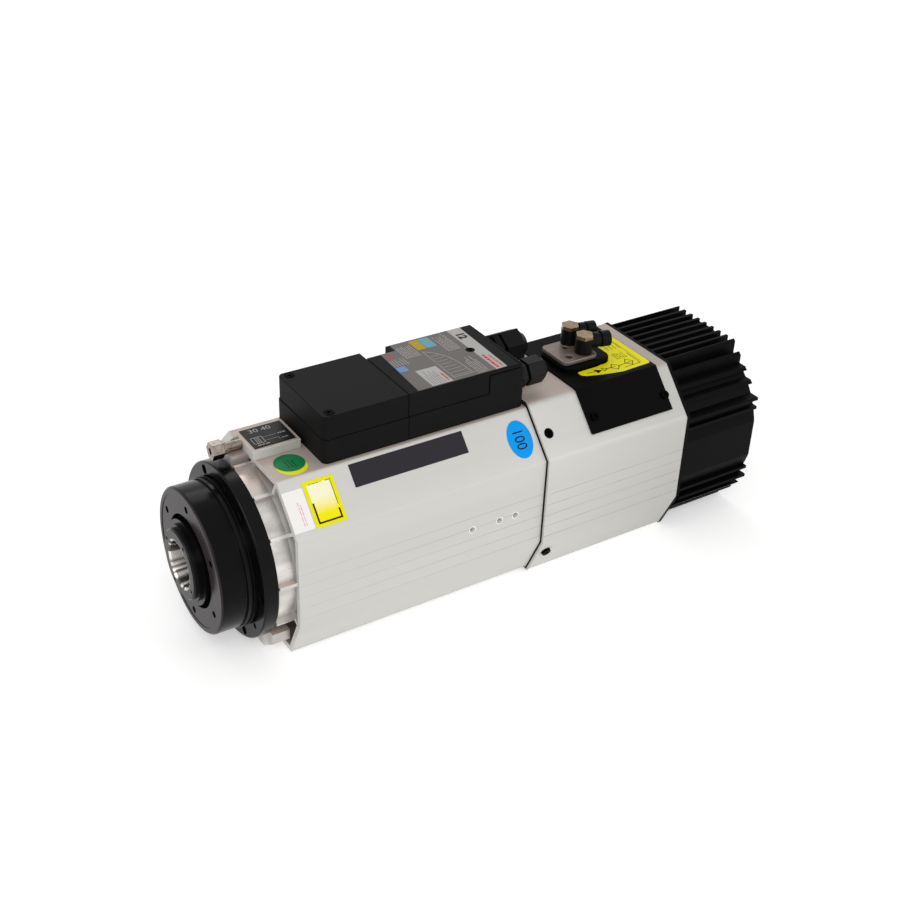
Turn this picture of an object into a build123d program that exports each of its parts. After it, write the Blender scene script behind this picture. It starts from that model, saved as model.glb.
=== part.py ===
from build123d import *
from math import cos, hypot, radians, sin
import os

os.makedirs("parts", exist_ok=True)

# Motor spindle with an automatic tool changer. Millimetres. The origin is the middle of the
# nose face, X runs along the spindle from the nose to the rear fan, and Z is up.

# Lengths along the spindle
nose_to_cover = 7.3
cover_length = 16.2
hub_length = 8.0
flange_thickness = 10.0
vent_gap = 12.5
front_body_length = 187.0
gasket_thickness = 0.8
gasket_inset = 0.8
gasket_clearance = 1.0
rear_body_length = 121.4
rear_plate_thickness = 2.8
rear_cover_length = 66.5

# Eight-sided section of the body
top_half = 34.7
top_z = 65.5
side_half = 61.9
upper_edge_z = 36.6
lower_edge_z = -29.5
foot_half = 47.8
foot_z = -60.5
rear_step = 2.7
edge_radius = 4.0
skin = 4.0
core_radius = 57.0
web_thickness = 2.4
web_angles = (-28, 4, 35, 62)

# Nose, covers and flange
nose_radius = 24.0
nose_length = 3.2
nose_chamfer = 1.0
taper_radius = 15.875
taper_slope = 7 / 48
taper_depth = 48.0
mouth_chamfer = 1.1
cover_radius = 49.6
cover_recess_radius = 31.7
cover_recess_depth = 6.7
cover_step_radius = 45.0
cover_step_depth = 0.4
cover_chamfer = 1.2
cover_screw_circle = 39.4
cover_screw_start = 30
cover_screw_count = 6
cover_screw_radius = 1.2
cover_screw_head_radius = 2.0
cover_screw_head = 3.0
cover_screw_recess = 2.4
cover_screw_length = 22.0
hub_radius = 50.6
hub_groove = 1.6
hub_groove_width = 1.4
flange_radius = 60.0
flange_chamfer = 0.8
flange_screw_circle = 54.4
flange_screw_start = 3
flange_screw_count = 6
flange_screw_head_radius = 3.0
flange_screw_head = 6.0
flange_screw_recess = 1.5
flange_screw_radius = 1.5
flange_screw_length = 16.0
screw_clearance = 0.3
jack_hole_radius = 1.9
jack_hole_depth = 8.0
jack_inset = 1.0
jack_angles = (-142, -22, 98)
housing_radius = 44.0
housing_spigot = 10.0
rib_height = 4.0
foot_lug_inner = 22.0
foot_lug_foot = 32.0
foot_lug_side = 46.5
foot_lug_low = 11.0
foot_lug_high = 18.5
labyrinth_front_radius = 26.0
labyrinth_front_length = 2.2
labyrinth_disc_radius = 29.0
labyrinth_disc_length = 7.1
labyrinth_gap = 0.6
nose_hole_circle = 20.6
nose_hole_start = 28
nose_hole_count = 4
nose_hole_radius = 1.3
nose_hole_depth = 6.0

# Bearings
journal_radius = 22.5
front_bearing_outer = 37.5
front_bearing_width = 16.0
front_bearing_x = 19.0
rear_journal_radius = 17.5
rear_bearing_outer = 31.0
rear_bearing_width = 14.0
race_thickness = 4.0
fit_gap = 0.05
ball_gap = 0.2
balls_per_row = 10
locknut_width = 9.0
locknut_radius = 31.0
locknut_clearance = 1.5
locknut_slot = 6.0
locknut_slot_depth = 2.5
rear_locknut_width = 7.0
rear_locknut_radius = 24.0
cage_thickness = 1.2
cage_width = 3.0

# Motor
stator_bore_radius = 52.0
winding_overhang = 16.0
winding_clearance = 9.0
winding_end_gap = 2.0
air_gap = 0.5
rotor_radius = 29.7
rotor_seat_radius = 21.0
end_ring = 6.0
end_ring_radius = 28.0
end_ring_bore = 23.0
rotor_seat_step = 1.5
winding_inner = 33.0
winding_outer = 50.0
carrier_spigot = 8.0
carrier_shoulder = 7.0
carrier_spigot_wall = 7.0
carrier_flange = 6.0
carrier_flange_radius = 56.5
carrier_hub_radius = 37.0
carrier_hub_length = 25.0
carrier_bore = 26.0
sensor_ring_length = 7.0
shaft_tail = 2.0
sensor_teeth = 16
sensor_tooth_depth = 1.6
sensor_gap = 0.6
sensor_width = 12.0
sensor_height = 10.0
sensor_length = 10.0
sensor_angles = (90, -90)

# Tool clamping
spring_bore_radius = 14.5
spring_stack_length = 105.0
spring_disc_count = 14
spring_disc_thickness = 1.8
spring_clearance = 0.3
spring_end_gap = 0.1
guide_length = 8.0
guide_step_length = 14.0
guide_step_radius = 12.0
petal_space_radius = 14.4
petal_space_length = 18.5
taper_land = 1.5
rear_spring_wall = 13.0
collar_length = 8.0
rod_head_radius = 8.3
rod_head_length = 5.0
rod_head_x = 70.0
drawbar_reach = 3.5
rod_radius = 6.0
rear_rod_radius = 8.0
running_gap = 0.06
petal_radius = 10.6
petal_wall = 2.0
petal_count = 4
petal_gap = 12.0
petal_length = 21.0
petal_x = 58.0
petal_hook = 3.0
petal_rear_hook = 3.6
petal_rear_radius = 6.8
grip_radius = 4.8

# Release cylinder
cylinder_radius = 50.9
cylinder_bore = 42.0
cylinder_wall = 6.0
cylinder_chamber = 34.0
piston_thickness = 12.0
piston_rod_radius = 12.0
piston_tip_radius = 7.0
piston_tip_length = 9.0
piston_gap = 1.5
cylinder_clearance = 1.5
piston_end_gap = 2.0
cap_thickness = 6.0
return_disc_count = 4
return_spring_outer = 36.0
return_spring_inner = 20.0
rear_skin = 6.0
rear_rib_width = 8.0
rear_rib_start = 8.2
rear_rib_count = 4
rear_rib_angle = 45
plate_ledge = 5.4

# Fins on the rear cover
fin_core_radius = 66.2
fin_core_wall = 4.8
fin_pitch = 7.9
fin_pairs = 5
fin_thickness = 2.3
side_fin_heights = (26.1, 33.6, 43.7, 51.3)
fin_top_rise = 2.0
fin_side_cut = 1.6
fin_foot_cut = 3.0
fin_top_half = 31.5
fin_upper_z = 34.2
fin_lower_z = -36.5
fin_foot_half = 42.5

# Fan
fan_tip_gap = 5.9
fan_hub_radius = 23.0
fan_depth = 21.0
fan_blades = 7
fan_pin_radius = 4.0
fan_x = 382.0
fan_pin_length = 8.0
fan_frame_gap = 1.0
fan_frame_wall = 3.3
fan_frame_depth = 9.0
fan_frame_hub = 22.0
fan_spoke = 6.0
fan_spoke_angles = (45, 135)
blade_thickness = 1.8
blade_root_chord = 24.0
blade_tip_chord = 32.0
blade_root_angle = 42.0
blade_tip_angle = 27.0
seat_gap = 0.1
guard_thickness = 2.2
guard_rings = 4
guard_wire = 1.8
guard_rim = 3.0
guard_inset = 0.5
guard_bar_angles = (0, 90)

# Junction box
box_x = 88.0
box_length = 152.5
box_half = 32.5
box_base_height = 17.0
box_lid_height = 16.7
box_wall = 3.0
lid_split_x = 149.8
lid_gap = 0.3
lid_inset = 0.5
lid_lip = 3.0
lid_boss_radius = 4.5
split_groove = 0.6
wire_hole_radius = 8.0
wire_hole_x = 170.0
box_corner = 4.0
box_inner_corner = 0.5
gland_tower_length = 28.5
notch_length = 19.3
notch_width = 9.0
notch_depth = 6.0
lid_screw_inset = 7.0
lid_screw_y = 26.6
rear_screw_inset = 23.7
lid_screw_radius = 1.5
lid_screw_head_radius = 2.7
lid_screw_head = 1.8
lid_screw_grip = 6.0
terminal_x = 112.0
terminal_length = 44.0
terminal_depth = 16.0
terminal_height = 11.0
terminal_poles = 6
terminal_slot = 1.2

# Cable glands
near_gland_y = -21.0
far_gland_y = 15.5
gland_z = 84.0
near_gland_flats = 17.0
far_gland_flats = 22.0
near_gland_reach = 21.5
far_gland_reach = 28.2
near_gland_bore = 3.4
far_gland_bore = 4.6
gland_flange = 4.5
far_gland_neck = 4.5
gland_nut_wall = 2.0
gland_thread_gap = 0.1
gland_nut_gap = 2.0
gland_dome = 2.2
gland_dome_inset = 1.6
gland_body_wall = 1.5
gland_seal_length = 9.0

# Name pad and front air fitting
pad_x = 52.2
pad_length = 33.2
pad_near_y = -6.6
pad_width = 28.4
pad_height = 6.8
ear_length = 7.4
ear_drop = 4.0
plate_margin = 2.4
plate_thickness = 0.6
fitting_y = 11.8
fitting_z = 69.0
fitting_flats = 11.0
fitting_tube = 3.2
fitting_bore = 2.1
fitting_nut_length = 8.0
fitting_nut_x = 31.0
fitting_collar_length = 1.8
fitting_collar_radius = 4.6
ear_near_y = 16.0
top_block_near_y = 4.7
top_block_width = 20.0

# Air connections on the rear body
air_cover_x = 281.2
air_cover_length = 71.5
air_cover_thickness = 1.3
air_cover_drop_z = 44.9
air_screw_x = (287.7, 350.1)
air_screw_share = 0.52
air_screw_radius = 3.0
air_screw_head = 1.6
boss_x = 286.8
boss_length = 41.7
boss_half = 17.3
boss_height = 4.2
boss_corner = 8.0
boss_edge = 1.4
port_plate_x = 288.2
port_plate_length = 29.8
port_plate_half = 14.8
port_plate_y = 1.0
port_plate_height = 3.0
port_corner = 4.0
port_hole_radius = 2.6
port_hole_x = 297.0
port_hole_y = -6.8
port_plug_radius = 2.0
port_plug_x = 302.7
port_plug_y = 5.7
banjo_spacing = 17.0
banjo_x = 310.0
banjo_y = 2.6
banjo_radius = 6.2
banjo_height = 11.0
turn_gap = 0.1
banjo_bolt_radius = 3.8
banjo_head = 3.2
banjo_head_flats = 11.5
arm_radius = 5.5
arm_rise = 8.6
arm_bore = 1.6
arm_reach = 11.0
arm_turn = -13.0
socket_radius = 3.1
socket_depth = 10.0
neck_radius = 4.3
release_radius = 5.8
release_length = 6.5
release_lip = 1.0
release_mouth = 3.4
release_press = 1.2
body_gap = 0.3

# Fasteners
body_screw_radius = 3.4
body_screw_head = 3.0
body_screw_recess = 0.6
body_screw_shank = 2.0
body_screw_upper_x = 249.2
body_screw_lower_x = 249.0
upper_screw_share = 0.55
lower_screw_share = 0.37
lower_screw_rise = 2.4
foot_hole_pitch_x = 140.0
foot_hole_pitch_y = 50.0
foot_hole_radius = 3.4
foot_hole_depth = 11.0
side_hole_z = 1.0
side_hole_distances = (58.0, 36.0, 23.1)
side_hole_radius = 2.3
side_hole_chamfer = 0.6
side_hole_depth = 3.0
socket_share = 0.5

# Stations along the spindle that follow from the lengths
cover_x = nose_to_cover
hub_x = cover_x + cover_length
flange_x = hub_x + hub_length
drum_x = flange_x + flange_thickness
skin_x = drum_x + vent_gap
seam_x = skin_x + front_body_length
rear_x = seam_x + gasket_thickness
rear_end_x = rear_x + rear_body_length
fins_x = rear_end_x + rear_plate_thickness
end_x = fins_x + rear_cover_length
front_bearing_end = front_bearing_x + 2 * front_bearing_width
locknut_end = front_bearing_end + locknut_width
labyrinth_x = nose_length + labyrinth_front_length
labyrinth_end = labyrinth_x + labyrinth_disc_length
labyrinth_neck = journal_radius + race_thickness
stator_x = locknut_end + winding_overhang + winding_clearance
carrier_x = seam_x
stator_end = carrier_x - carrier_spigot - winding_end_gap - winding_overhang
stator_length = stator_end - stator_x
rear_bearing_x = carrier_x + carrier_shoulder
rear_bearing_end = rear_bearing_x + rear_bearing_width
rear_locknut_end = rear_bearing_end + rear_locknut_width
sensor_end = rear_locknut_end + sensor_ring_length
shaft_end = sensor_end + shaft_tail
petal_space_x = taper_depth + taper_land
petal_end = petal_x + petal_length
petal_span = 360 / petal_count - petal_gap
guide_step_x = petal_space_x + petal_space_length
guide_x = guide_step_x + guide_step_length
spring_x = guide_x + guide_length
spring_end = spring_x + spring_stack_length
spring_bore_end = spring_end + rear_spring_wall
drawbar_end = shaft_end + drawbar_reach
piston_tip_x = drawbar_end + piston_gap
piston_rod_x = piston_tip_x + piston_tip_length
cylinder_x = piston_rod_x + cylinder_clearance
chamber_x = cylinder_x + cylinder_wall
chamber_end = chamber_x + cylinder_chamber
piston_x = chamber_end - piston_thickness - piston_end_gap
rear_top_z = top_z + rear_step
pad_top_z = top_z + pad_height
box_end_x = box_x + box_length
lid_z = top_z + box_base_height
box_top_z = lid_z + box_lid_height
lid_screw_length = box_lid_height + lid_screw_grip
tower_x = box_end_x - gland_tower_length
boss_z = rear_top_z + air_cover_thickness
port_z = boss_z + boss_height
port_top_z = port_z + port_plate_height
fan_hub_end = fan_x + fan_depth
fan_frame_x = fan_hub_end + fan_frame_gap
fin_bore = fin_core_radius - fin_core_wall
fin_top_z = fin_core_radius + fin_top_rise
fin_side_half = fin_core_radius - fin_side_cut
fin_foot_z = -fin_core_radius + fin_foot_cut
plate_opening = fin_bore - plate_ledge
fan_radius = fin_bore - fan_tip_gap
cover_screw_x = cover_x + cover_step_depth + cover_screw_recess


def body_face(grow=0.0, mode=Mode.ADD):
    """Section of the body in the open sketch, grown outward on every side."""
    half = [(top_half, top_z), (side_half, upper_edge_z), (side_half, lower_edge_z), (foot_half, foot_z)]
    mirrored = [(-y, z) for y, z in reversed(half)]
    if grow:
        plain = Polygon(*half, *mirrored, align=None, mode=Mode.PRIVATE)
        offset(plain, amount=grow, kind=Kind.INTERSECTION, mode=mode)
    else:
        Polygon(*half, *mirrored, align=None, mode=mode)


def turned(*points, mode=Mode.ADD):
    """Revolve (x, radius) points about the spindle axis."""
    with BuildSketch(Plane.XY) as profile:
        Polygon(*points, align=None)
    revolve(profile.sketch, axis=Axis.X, mode=mode)


def ring(x, length, outer, inner=0.0, mode=Mode.ADD):
    """Disc or ring on the spindle axis from station x."""
    with BuildSketch(Plane.YZ.offset(x)) as section:
        Circle(outer)
        if inner:
            Circle(inner, mode=Mode.SUBTRACT)
    extrude(section.sketch, amount=length, mode=mode)


def rods(x, length, radius, places, mode=Mode.SUBTRACT):
    """Round holes or pins parallel to the spindle at (y, z) places."""
    with BuildSketch(Plane.YZ.offset(x)) as section:
        with Locations(*places):
            Circle(radius)
    extrude(section.sketch, amount=length, mode=mode)


def hexes(x, length, flats, places, turn=0.0, mode=Mode.ADD):
    """Hexagonal prisms parallel to the spindle at (y, z) places."""
    with BuildSketch(Plane.YZ.offset(x)) as section:
        with Locations(*places):
            RegularPolygon(flats / 2, 6, major_radius=False, rotation=turn)
    extrude(section.sketch, amount=length, mode=mode)


def posts(z, height, radius, places, mode=Mode.ADD):
    """Upright round pins or holes from height z at (x, y) places."""
    with BuildSketch(Plane.XY.offset(z)) as section:
        with Locations(*places):
            Circle(radius)
    extrude(section.sketch, amount=height, mode=mode)


def on_circle(radius, angles):
    """Places on a circle round the spindle axis, with angles from +Y towards +Z."""
    return [(radius * cos(radians(a)), radius * sin(radians(a))) for a in angles]


def even(start, count):
    """Angles of evenly spaced places, from the first one."""
    return [start + 360 / count * k for k in range(count)]


def corner_box(x, length, near_y, width, z, height, mode=Mode.ADD):
    """Block from its front, near, lower corner."""
    with BuildSketch(Plane.XY.offset(z)) as section:
        with Locations((x, near_y)):
            Rectangle(length, width, align=(Align.MIN, Align.MIN))
    extrude(section.sketch, amount=height, mode=mode)


def slanted(x, side, upper, share, grow):
    """Plane on a slanted face of the body grown outward, share of the way down that face."""
    start, end = ((top_half, top_z), (side_half, upper_edge_z)) if upper else (
        (side_half, lower_edge_z), (foot_half, foot_z))
    run = end[0] - start[0]
    drop = start[1] - end[1]
    face = hypot(run, drop)
    outward = (drop / face, run / face)
    y = start[0] + share * run + grow * outward[0]
    z = start[1] - share * drop + grow * outward[1]
    return Plane(origin=(x, side * y, z), x_dir=(1, 0, 0), z_dir=(0, side * outward[0], outward[1]))


def bolt(plane, head_radius, head, shank_radius, shank, grow=0.0, mode=Mode.ADD):
    """Round-headed screw whose head stands on a plane and whose shank goes down into it."""
    with BuildSketch(plane) as head_circle:
        Circle(head_radius + grow)
    extrude(head_circle.sketch, amount=head, mode=mode)
    with BuildSketch(plane) as shank_circle:
        Circle(shank_radius + grow)
    extrude(shank_circle.sketch, amount=-shank, mode=mode)


def ball_row(x, pitch, radius):
    """Row of bearing balls in their cage."""
    places = on_circle(pitch, even(0, balls_per_row))
    with Locations(*((x, y, z) for y, z in places)):
        Sphere(radius)
    ring(x - cage_width / 2, cage_width, pitch + cage_thickness / 2, pitch - cage_thickness / 2)


def disc_stack(x, length, count, inner, outer):
    """Stack of dished spring washers from station x."""
    step = (length - spring_disc_thickness) / count
    with BuildSketch(Plane.XY) as section:
        for k in range(count):
            start, end = (inner, outer) if k % 2 == 0 else (outer, inner)
            left = x + k * step
            Polygon(
                (left, start),
                (left + step, end),
                (left + step + spring_disc_thickness, end),
                (left + spring_disc_thickness, start),
                align=None,
            )
    revolve(section.sketch, axis=Axis.X)


def box_outline(grow=0.0, corner=box_corner):
    """Rounded outline of the junction box in the open sketch."""
    with Locations((box_x + box_length / 2, 0)):
        RectangleRounded(box_length + 2 * grow, 2 * (box_half + grow), corner)


def save(piece, name):
    """Label a finished piece and write its file."""
    piece.part.label = name
    export_step(piece.part, f"parts/{name}.step")


cover_screw_places = on_circle(cover_screw_circle, even(cover_screw_start, cover_screw_count))
flange_screw_places = on_circle(flange_screw_circle, even(flange_screw_start, flange_screw_count))
jack_places = on_circle(flange_screw_circle - jack_inset, jack_angles)
duct_web_angles = [*web_angles, *(180 - a for a in web_angles), 90]
foot_centre_x = skin_x + front_body_length / 2
lid_screw_places = [
    (box_x + lid_screw_inset, -lid_screw_y, box_top_z),
    (box_x + lid_screw_inset, lid_screw_y, box_top_z),
    (box_end_x - rear_screw_inset, 0, box_top_z),
    (lid_split_x + notch_length / 2, box_half - notch_width / 2, box_top_z - notch_depth),
]
body_screw_planes = [
    slanted(x, side, upper, share, rear_step + rise)
    for side in (-1, 1)
    for x, upper, share, rise in (
        (body_screw_upper_x, True, upper_screw_share, 0.0),
        (body_screw_lower_x, False, lower_screw_share, lower_screw_rise),
    )
]
air_screw_planes = [
    slanted(x, side, True, air_screw_share, rear_step + air_cover_thickness)
    for side in (-1, 1)
    for x in air_screw_x
]

# Front body: extruded skin round a bored core, with air ducts between them
with BuildPart() as front_body:
    with BuildSketch(Plane.YZ.offset(skin_x)) as outline:
        body_face()
        fillet(outline.vertices().group_by(Axis.Y)[-1], edge_radius)
    extrude(amount=front_body_length)
    with BuildSketch(Plane.YZ.offset(skin_x)):
        body_face(grow=-skin)
        Circle(core_radius, mode=Mode.SUBTRACT)
        for angle in duct_web_angles:
            with Locations(*on_circle(core_radius + skin, (angle,))):
                Rectangle(4 * skin, web_thickness, rotation=angle, mode=Mode.SUBTRACT)
    extrude(amount=front_body_length, mode=Mode.SUBTRACT)
    ring(skin_x, front_body_length, stator_bore_radius, mode=Mode.SUBTRACT)
    with BuildSketch(Plane.XY.offset(foot_z)):
        with Locations((foot_centre_x, 0)):
            with GridLocations(foot_hole_pitch_x, foot_hole_pitch_y, 2, 2):
                Circle(foot_hole_radius)
    extrude(amount=foot_hole_depth, mode=Mode.SUBTRACT)
    with BuildSketch(Plane.XZ.offset(side_half)):
        with Locations(*((seam_x - back, side_hole_z) for back in side_hole_distances)):
            Circle(side_hole_radius)
    extrude(amount=-side_hole_depth, mode=Mode.SUBTRACT)
    for back in side_hole_distances:
        mouth = Plane(origin=(seam_x - back, -side_half, side_hole_z), z_dir=(0, 1, 0))
        with Locations(mouth.offset(side_hole_chamfer / 2)):
            Cone(side_hole_radius + side_hole_chamfer, side_hole_radius, side_hole_chamfer,
                 mode=Mode.SUBTRACT)
    posts(top_z - skin, skin, wire_hole_radius, [(wire_hole_x, 0)], mode=Mode.SUBTRACT)
save(front_body, "front_body")

# Front housing: carries the front bearings and closes the front of the core
with BuildPart() as front_housing:
    ring(front_bearing_x, drum_x - front_bearing_x, housing_radius)
    ring(drum_x, vent_gap, core_radius)
    ring(skin_x, housing_spigot, stator_bore_radius - fit_gap)
    with BuildSketch(Plane.YZ.offset(drum_x)):
        for angle in duct_web_angles:
            with Locations(*on_circle(core_radius, (angle,))):
                Rectangle(2 * rib_height, web_thickness, rotation=angle)
    extrude(amount=vent_gap)
    with BuildSketch(Plane.YZ.offset(drum_x)):
        with Locations((top_block_near_y, core_radius / 2)):
            Rectangle(top_block_width, top_z - core_radius / 2, align=(Align.MIN, Align.MIN))
        for side in (-1, 1):
            Polygon(
                (side * foot_lug_inner, foot_z),
                (side * foot_lug_foot, foot_z),
                (side * foot_lug_side, foot_z + foot_lug_low),
                (side * foot_lug_side, foot_z + foot_lug_high),
                (side * foot_lug_inner, foot_z + foot_lug_high),
                align=None,
            )
    extrude(amount=vent_gap)
    ring(front_bearing_x, 2 * front_bearing_width, front_bearing_outer + fit_gap, mode=Mode.SUBTRACT)
    ring(front_bearing_end, skin_x + housing_spigot - front_bearing_end,
         locknut_radius + locknut_clearance, mode=Mode.SUBTRACT)
    rods(cover_x, cover_screw_length, cover_screw_radius, cover_screw_places)
    rods(flange_x, flange_screw_length, flange_screw_radius, flange_screw_places)
save(front_housing, "front_housing")

# Front flange: black steel hub with ring grooves behind the cover, and the mounting flange
with BuildPart() as front_flange:
    ring(hub_x, hub_length, hub_radius)
    ring(flange_x, flange_thickness, flange_radius)
    chamfer(front_flange.edges().filter_by(GeomType.CIRCLE).group_by(SortBy.RADIUS)[-1], flange_chamfer)
    for groove_x in (hub_x, hub_x + hub_length / 2, flange_x - hub_groove_width):
        ring(groove_x, hub_groove_width, hub_radius, hub_radius - hub_groove, mode=Mode.SUBTRACT)
    ring(hub_x, hub_length + flange_thickness, housing_radius + fit_gap, mode=Mode.SUBTRACT)
    rods(flange_x, flange_thickness, flange_screw_radius, flange_screw_places)
    rods(flange_x, flange_screw_recess + flange_screw_head, flange_screw_head_radius + screw_clearance,
         flange_screw_places)
    rods(flange_x, jack_hole_depth, jack_hole_radius, jack_places)
save(front_flange, "front_flange")

# Front cover: black cylinder that clamps the bearings, with the labyrinth recess
with BuildPart() as front_cover:
    ring(cover_x, cover_length, cover_radius)
    chamfer(front_cover.edges().filter_by(GeomType.CIRCLE).sort_by(Axis.X)[0], cover_chamfer)
    ring(cover_x, cover_step_depth, cover_step_radius, mode=Mode.SUBTRACT)
    ring(cover_x, cover_recess_depth, cover_recess_radius, mode=Mode.SUBTRACT)
    ring(cover_x, cover_length, labyrinth_neck + labyrinth_gap, mode=Mode.SUBTRACT)
    ring(front_bearing_x, hub_x - front_bearing_x, housing_radius + fit_gap, mode=Mode.SUBTRACT)
    rods(cover_x, front_bearing_x - cover_x, cover_screw_radius, cover_screw_places)
    rods(cover_x, cover_screw_x + cover_screw_head - cover_x, cover_screw_head_radius + screw_clearance,
         cover_screw_places)
save(front_cover, "front_cover")

# Cover and flange screws, with hexagon sockets in their heads
with BuildPart() as cover_screws:
    rods(cover_screw_x, cover_screw_head, cover_screw_head_radius, cover_screw_places, mode=Mode.ADD)
    rods(cover_screw_x + cover_screw_head, cover_x + cover_screw_length - cover_screw_x - cover_screw_head,
         cover_screw_radius, cover_screw_places, mode=Mode.ADD)
    hexes(cover_screw_x, cover_screw_head / 2, cover_screw_head_radius, cover_screw_places,
          mode=Mode.SUBTRACT)
save(cover_screws, "cover_screws")

with BuildPart() as flange_screws:
    rods(flange_x + flange_screw_recess, flange_screw_head, flange_screw_head_radius, flange_screw_places,
         mode=Mode.ADD)
    rods(flange_x + flange_screw_recess + flange_screw_head,
         flange_screw_length - flange_screw_recess - flange_screw_head, flange_screw_radius,
         flange_screw_places, mode=Mode.ADD)
    hexes(flange_x + flange_screw_recess, flange_screw_head / 2, flange_screw_head_radius,
          flange_screw_places, mode=Mode.SUBTRACT)
save(flange_screws, "flange_screws")

# Shaft: taper mouth, space for the gripping petals, spring bore and rear rod bore
with BuildPart() as shaft:
    turned(
        (0, taper_radius + mouth_chamfer),
        (0, nose_radius - nose_chamfer),
        (nose_chamfer, nose_radius),
        (nose_length, nose_radius),
        (nose_length, journal_radius),
        (locknut_end + winding_clearance / 2, journal_radius),
        (locknut_end + winding_clearance / 2, rotor_seat_radius),
        (stator_end + end_ring, rotor_seat_radius),
        (stator_end + end_ring, rotor_seat_radius - rotor_seat_step),
        (rear_bearing_x, rotor_seat_radius - rotor_seat_step),
        (rear_bearing_x, rear_journal_radius),
        (shaft_end, rear_journal_radius),
        (shaft_end, rear_rod_radius + running_gap),
        (spring_bore_end, rear_rod_radius + running_gap),
        (spring_bore_end, spring_bore_radius),
        (spring_x, spring_bore_radius),
        (spring_x, rod_radius + running_gap),
        (guide_x, rod_radius + running_gap),
        (guide_x, guide_step_radius),
        (guide_step_x, guide_step_radius),
        (guide_step_x, petal_space_radius),
        (petal_space_x, petal_space_radius),
        (petal_space_x, taper_radius - taper_slope * taper_depth),
        (taper_depth, taper_radius - taper_slope * taper_depth),
        (mouth_chamfer, taper_radius - taper_slope * mouth_chamfer),
    )
    rods(0, nose_hole_depth, nose_hole_radius,
         on_circle(nose_hole_circle, even(nose_hole_start, nose_hole_count)))
save(shaft, "shaft")

# Labyrinth ring: turns with the shaft in the recess of the front cover
with BuildPart() as labyrinth_ring:
    turned(
        (nose_length, journal_radius + fit_gap),
        (nose_length, labyrinth_front_radius),
        (labyrinth_x, labyrinth_front_radius),
        (labyrinth_x, labyrinth_disc_radius),
        (labyrinth_end, labyrinth_disc_radius),
        (labyrinth_end, labyrinth_neck),
        (front_bearing_x, labyrinth_neck),
        (front_bearing_x, journal_radius + fit_gap),
    )
save(labyrinth_ring, "labyrinth_ring")

# Bearings: two rows at the front, one at the rear
with BuildPart() as bearing_outer_rings:
    for row in range(2):
        ring(front_bearing_x + row * front_bearing_width, front_bearing_width, front_bearing_outer,
             front_bearing_outer - race_thickness)
    ring(rear_bearing_x, rear_bearing_width, rear_bearing_outer, rear_bearing_outer - race_thickness)
save(bearing_outer_rings, "bearing_outer_rings")

with BuildPart() as bearing_inner_rings:
    for row in range(2):
        ring(front_bearing_x + row * front_bearing_width, front_bearing_width,
             journal_radius + race_thickness, journal_radius + fit_gap)
    ring(rear_bearing_x, rear_bearing_width, rear_journal_radius + race_thickness,
         rear_journal_radius + fit_gap)
save(bearing_inner_rings, "bearing_inner_rings")

front_ball_pitch = (journal_radius + front_bearing_outer) / 2
rear_ball_pitch = (rear_journal_radius + rear_bearing_outer) / 2
front_ball_radius = (front_bearing_outer - journal_radius) / 2 - race_thickness - ball_gap
rear_ball_radius = (rear_bearing_outer - rear_journal_radius) / 2 - race_thickness - ball_gap

with BuildPart() as front_ball_set:
    for row in range(2):
        ball_row(front_bearing_x + (row + 0.5) * front_bearing_width, front_ball_pitch, front_ball_radius)
save(front_ball_set, "front_ball_set")

with BuildPart() as rear_ball_set:
    ball_row(rear_bearing_x + rear_bearing_width / 2, rear_ball_pitch, rear_ball_radius)
save(rear_ball_set, "rear_ball_set")

# Slotted locknuts behind the front and rear bearings
with BuildPart() as bearing_locknuts:
    ring(front_bearing_end, locknut_width, locknut_radius, journal_radius + fit_gap)
    ring(rear_bearing_end, rear_locknut_width, rear_locknut_radius, rear_journal_radius + fit_gap)
    for x, width, radius in (
        (front_bearing_end, locknut_width, locknut_radius),
        (rear_bearing_end, rear_locknut_width, rear_locknut_radius),
    ):
        with BuildSketch(Plane.YZ.offset(x)) as slots:
            with PolarLocations(radius, 4):
                Rectangle(2 * locknut_slot_depth, locknut_slot)
        extrude(slots.sketch, amount=width, mode=Mode.SUBTRACT)
save(bearing_locknuts, "bearing_locknuts")

# Toothed ring that the speed sensor reads
with BuildPart() as sensor_ring:
    ring(rear_locknut_end, sensor_ring_length, rear_locknut_radius, rear_journal_radius + fit_gap)
    with BuildSketch(Plane.YZ.offset(rear_locknut_end)):
        with PolarLocations(rear_locknut_radius, sensor_teeth):
            Rectangle(2 * sensor_tooth_depth, 2 * sensor_tooth_depth)
    extrude(amount=sensor_ring_length, mode=Mode.SUBTRACT)
save(sensor_ring, "sensor_ring")

# Motor: rotor core with end rings, stator core and its windings
with BuildPart() as rotor_core:
    ring(stator_x, stator_length, rotor_radius, rotor_seat_radius + fit_gap)
    for x in (stator_x - end_ring, stator_end):
        ring(x, end_ring, end_ring_radius, end_ring_bore)
save(rotor_core, "rotor_core")

with BuildPart() as stator_core:
    ring(stator_x, stator_length, stator_bore_radius - fit_gap, rotor_radius + air_gap)
save(stator_core, "stator_core")

with BuildPart() as windings:
    for x in (stator_x - winding_overhang, stator_end):
        ring(x, winding_overhang, winding_outer, winding_inner)
save(windings, "windings")

# Rear bearing housing: spigot in the core bore, flange on its end, hub round the bearing
with BuildPart() as rear_bearing_housing:
    ring(carrier_x - carrier_spigot, carrier_spigot, stator_bore_radius - fit_gap,
         stator_bore_radius - carrier_spigot_wall)
    ring(carrier_x, carrier_flange, carrier_flange_radius, carrier_bore)
    ring(carrier_x, carrier_hub_length, carrier_hub_radius, carrier_bore)
    ring(rear_bearing_x, rear_bearing_width, rear_bearing_outer + fit_gap, mode=Mode.SUBTRACT)
save(rear_bearing_housing, "rear_bearing_housing")

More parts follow.
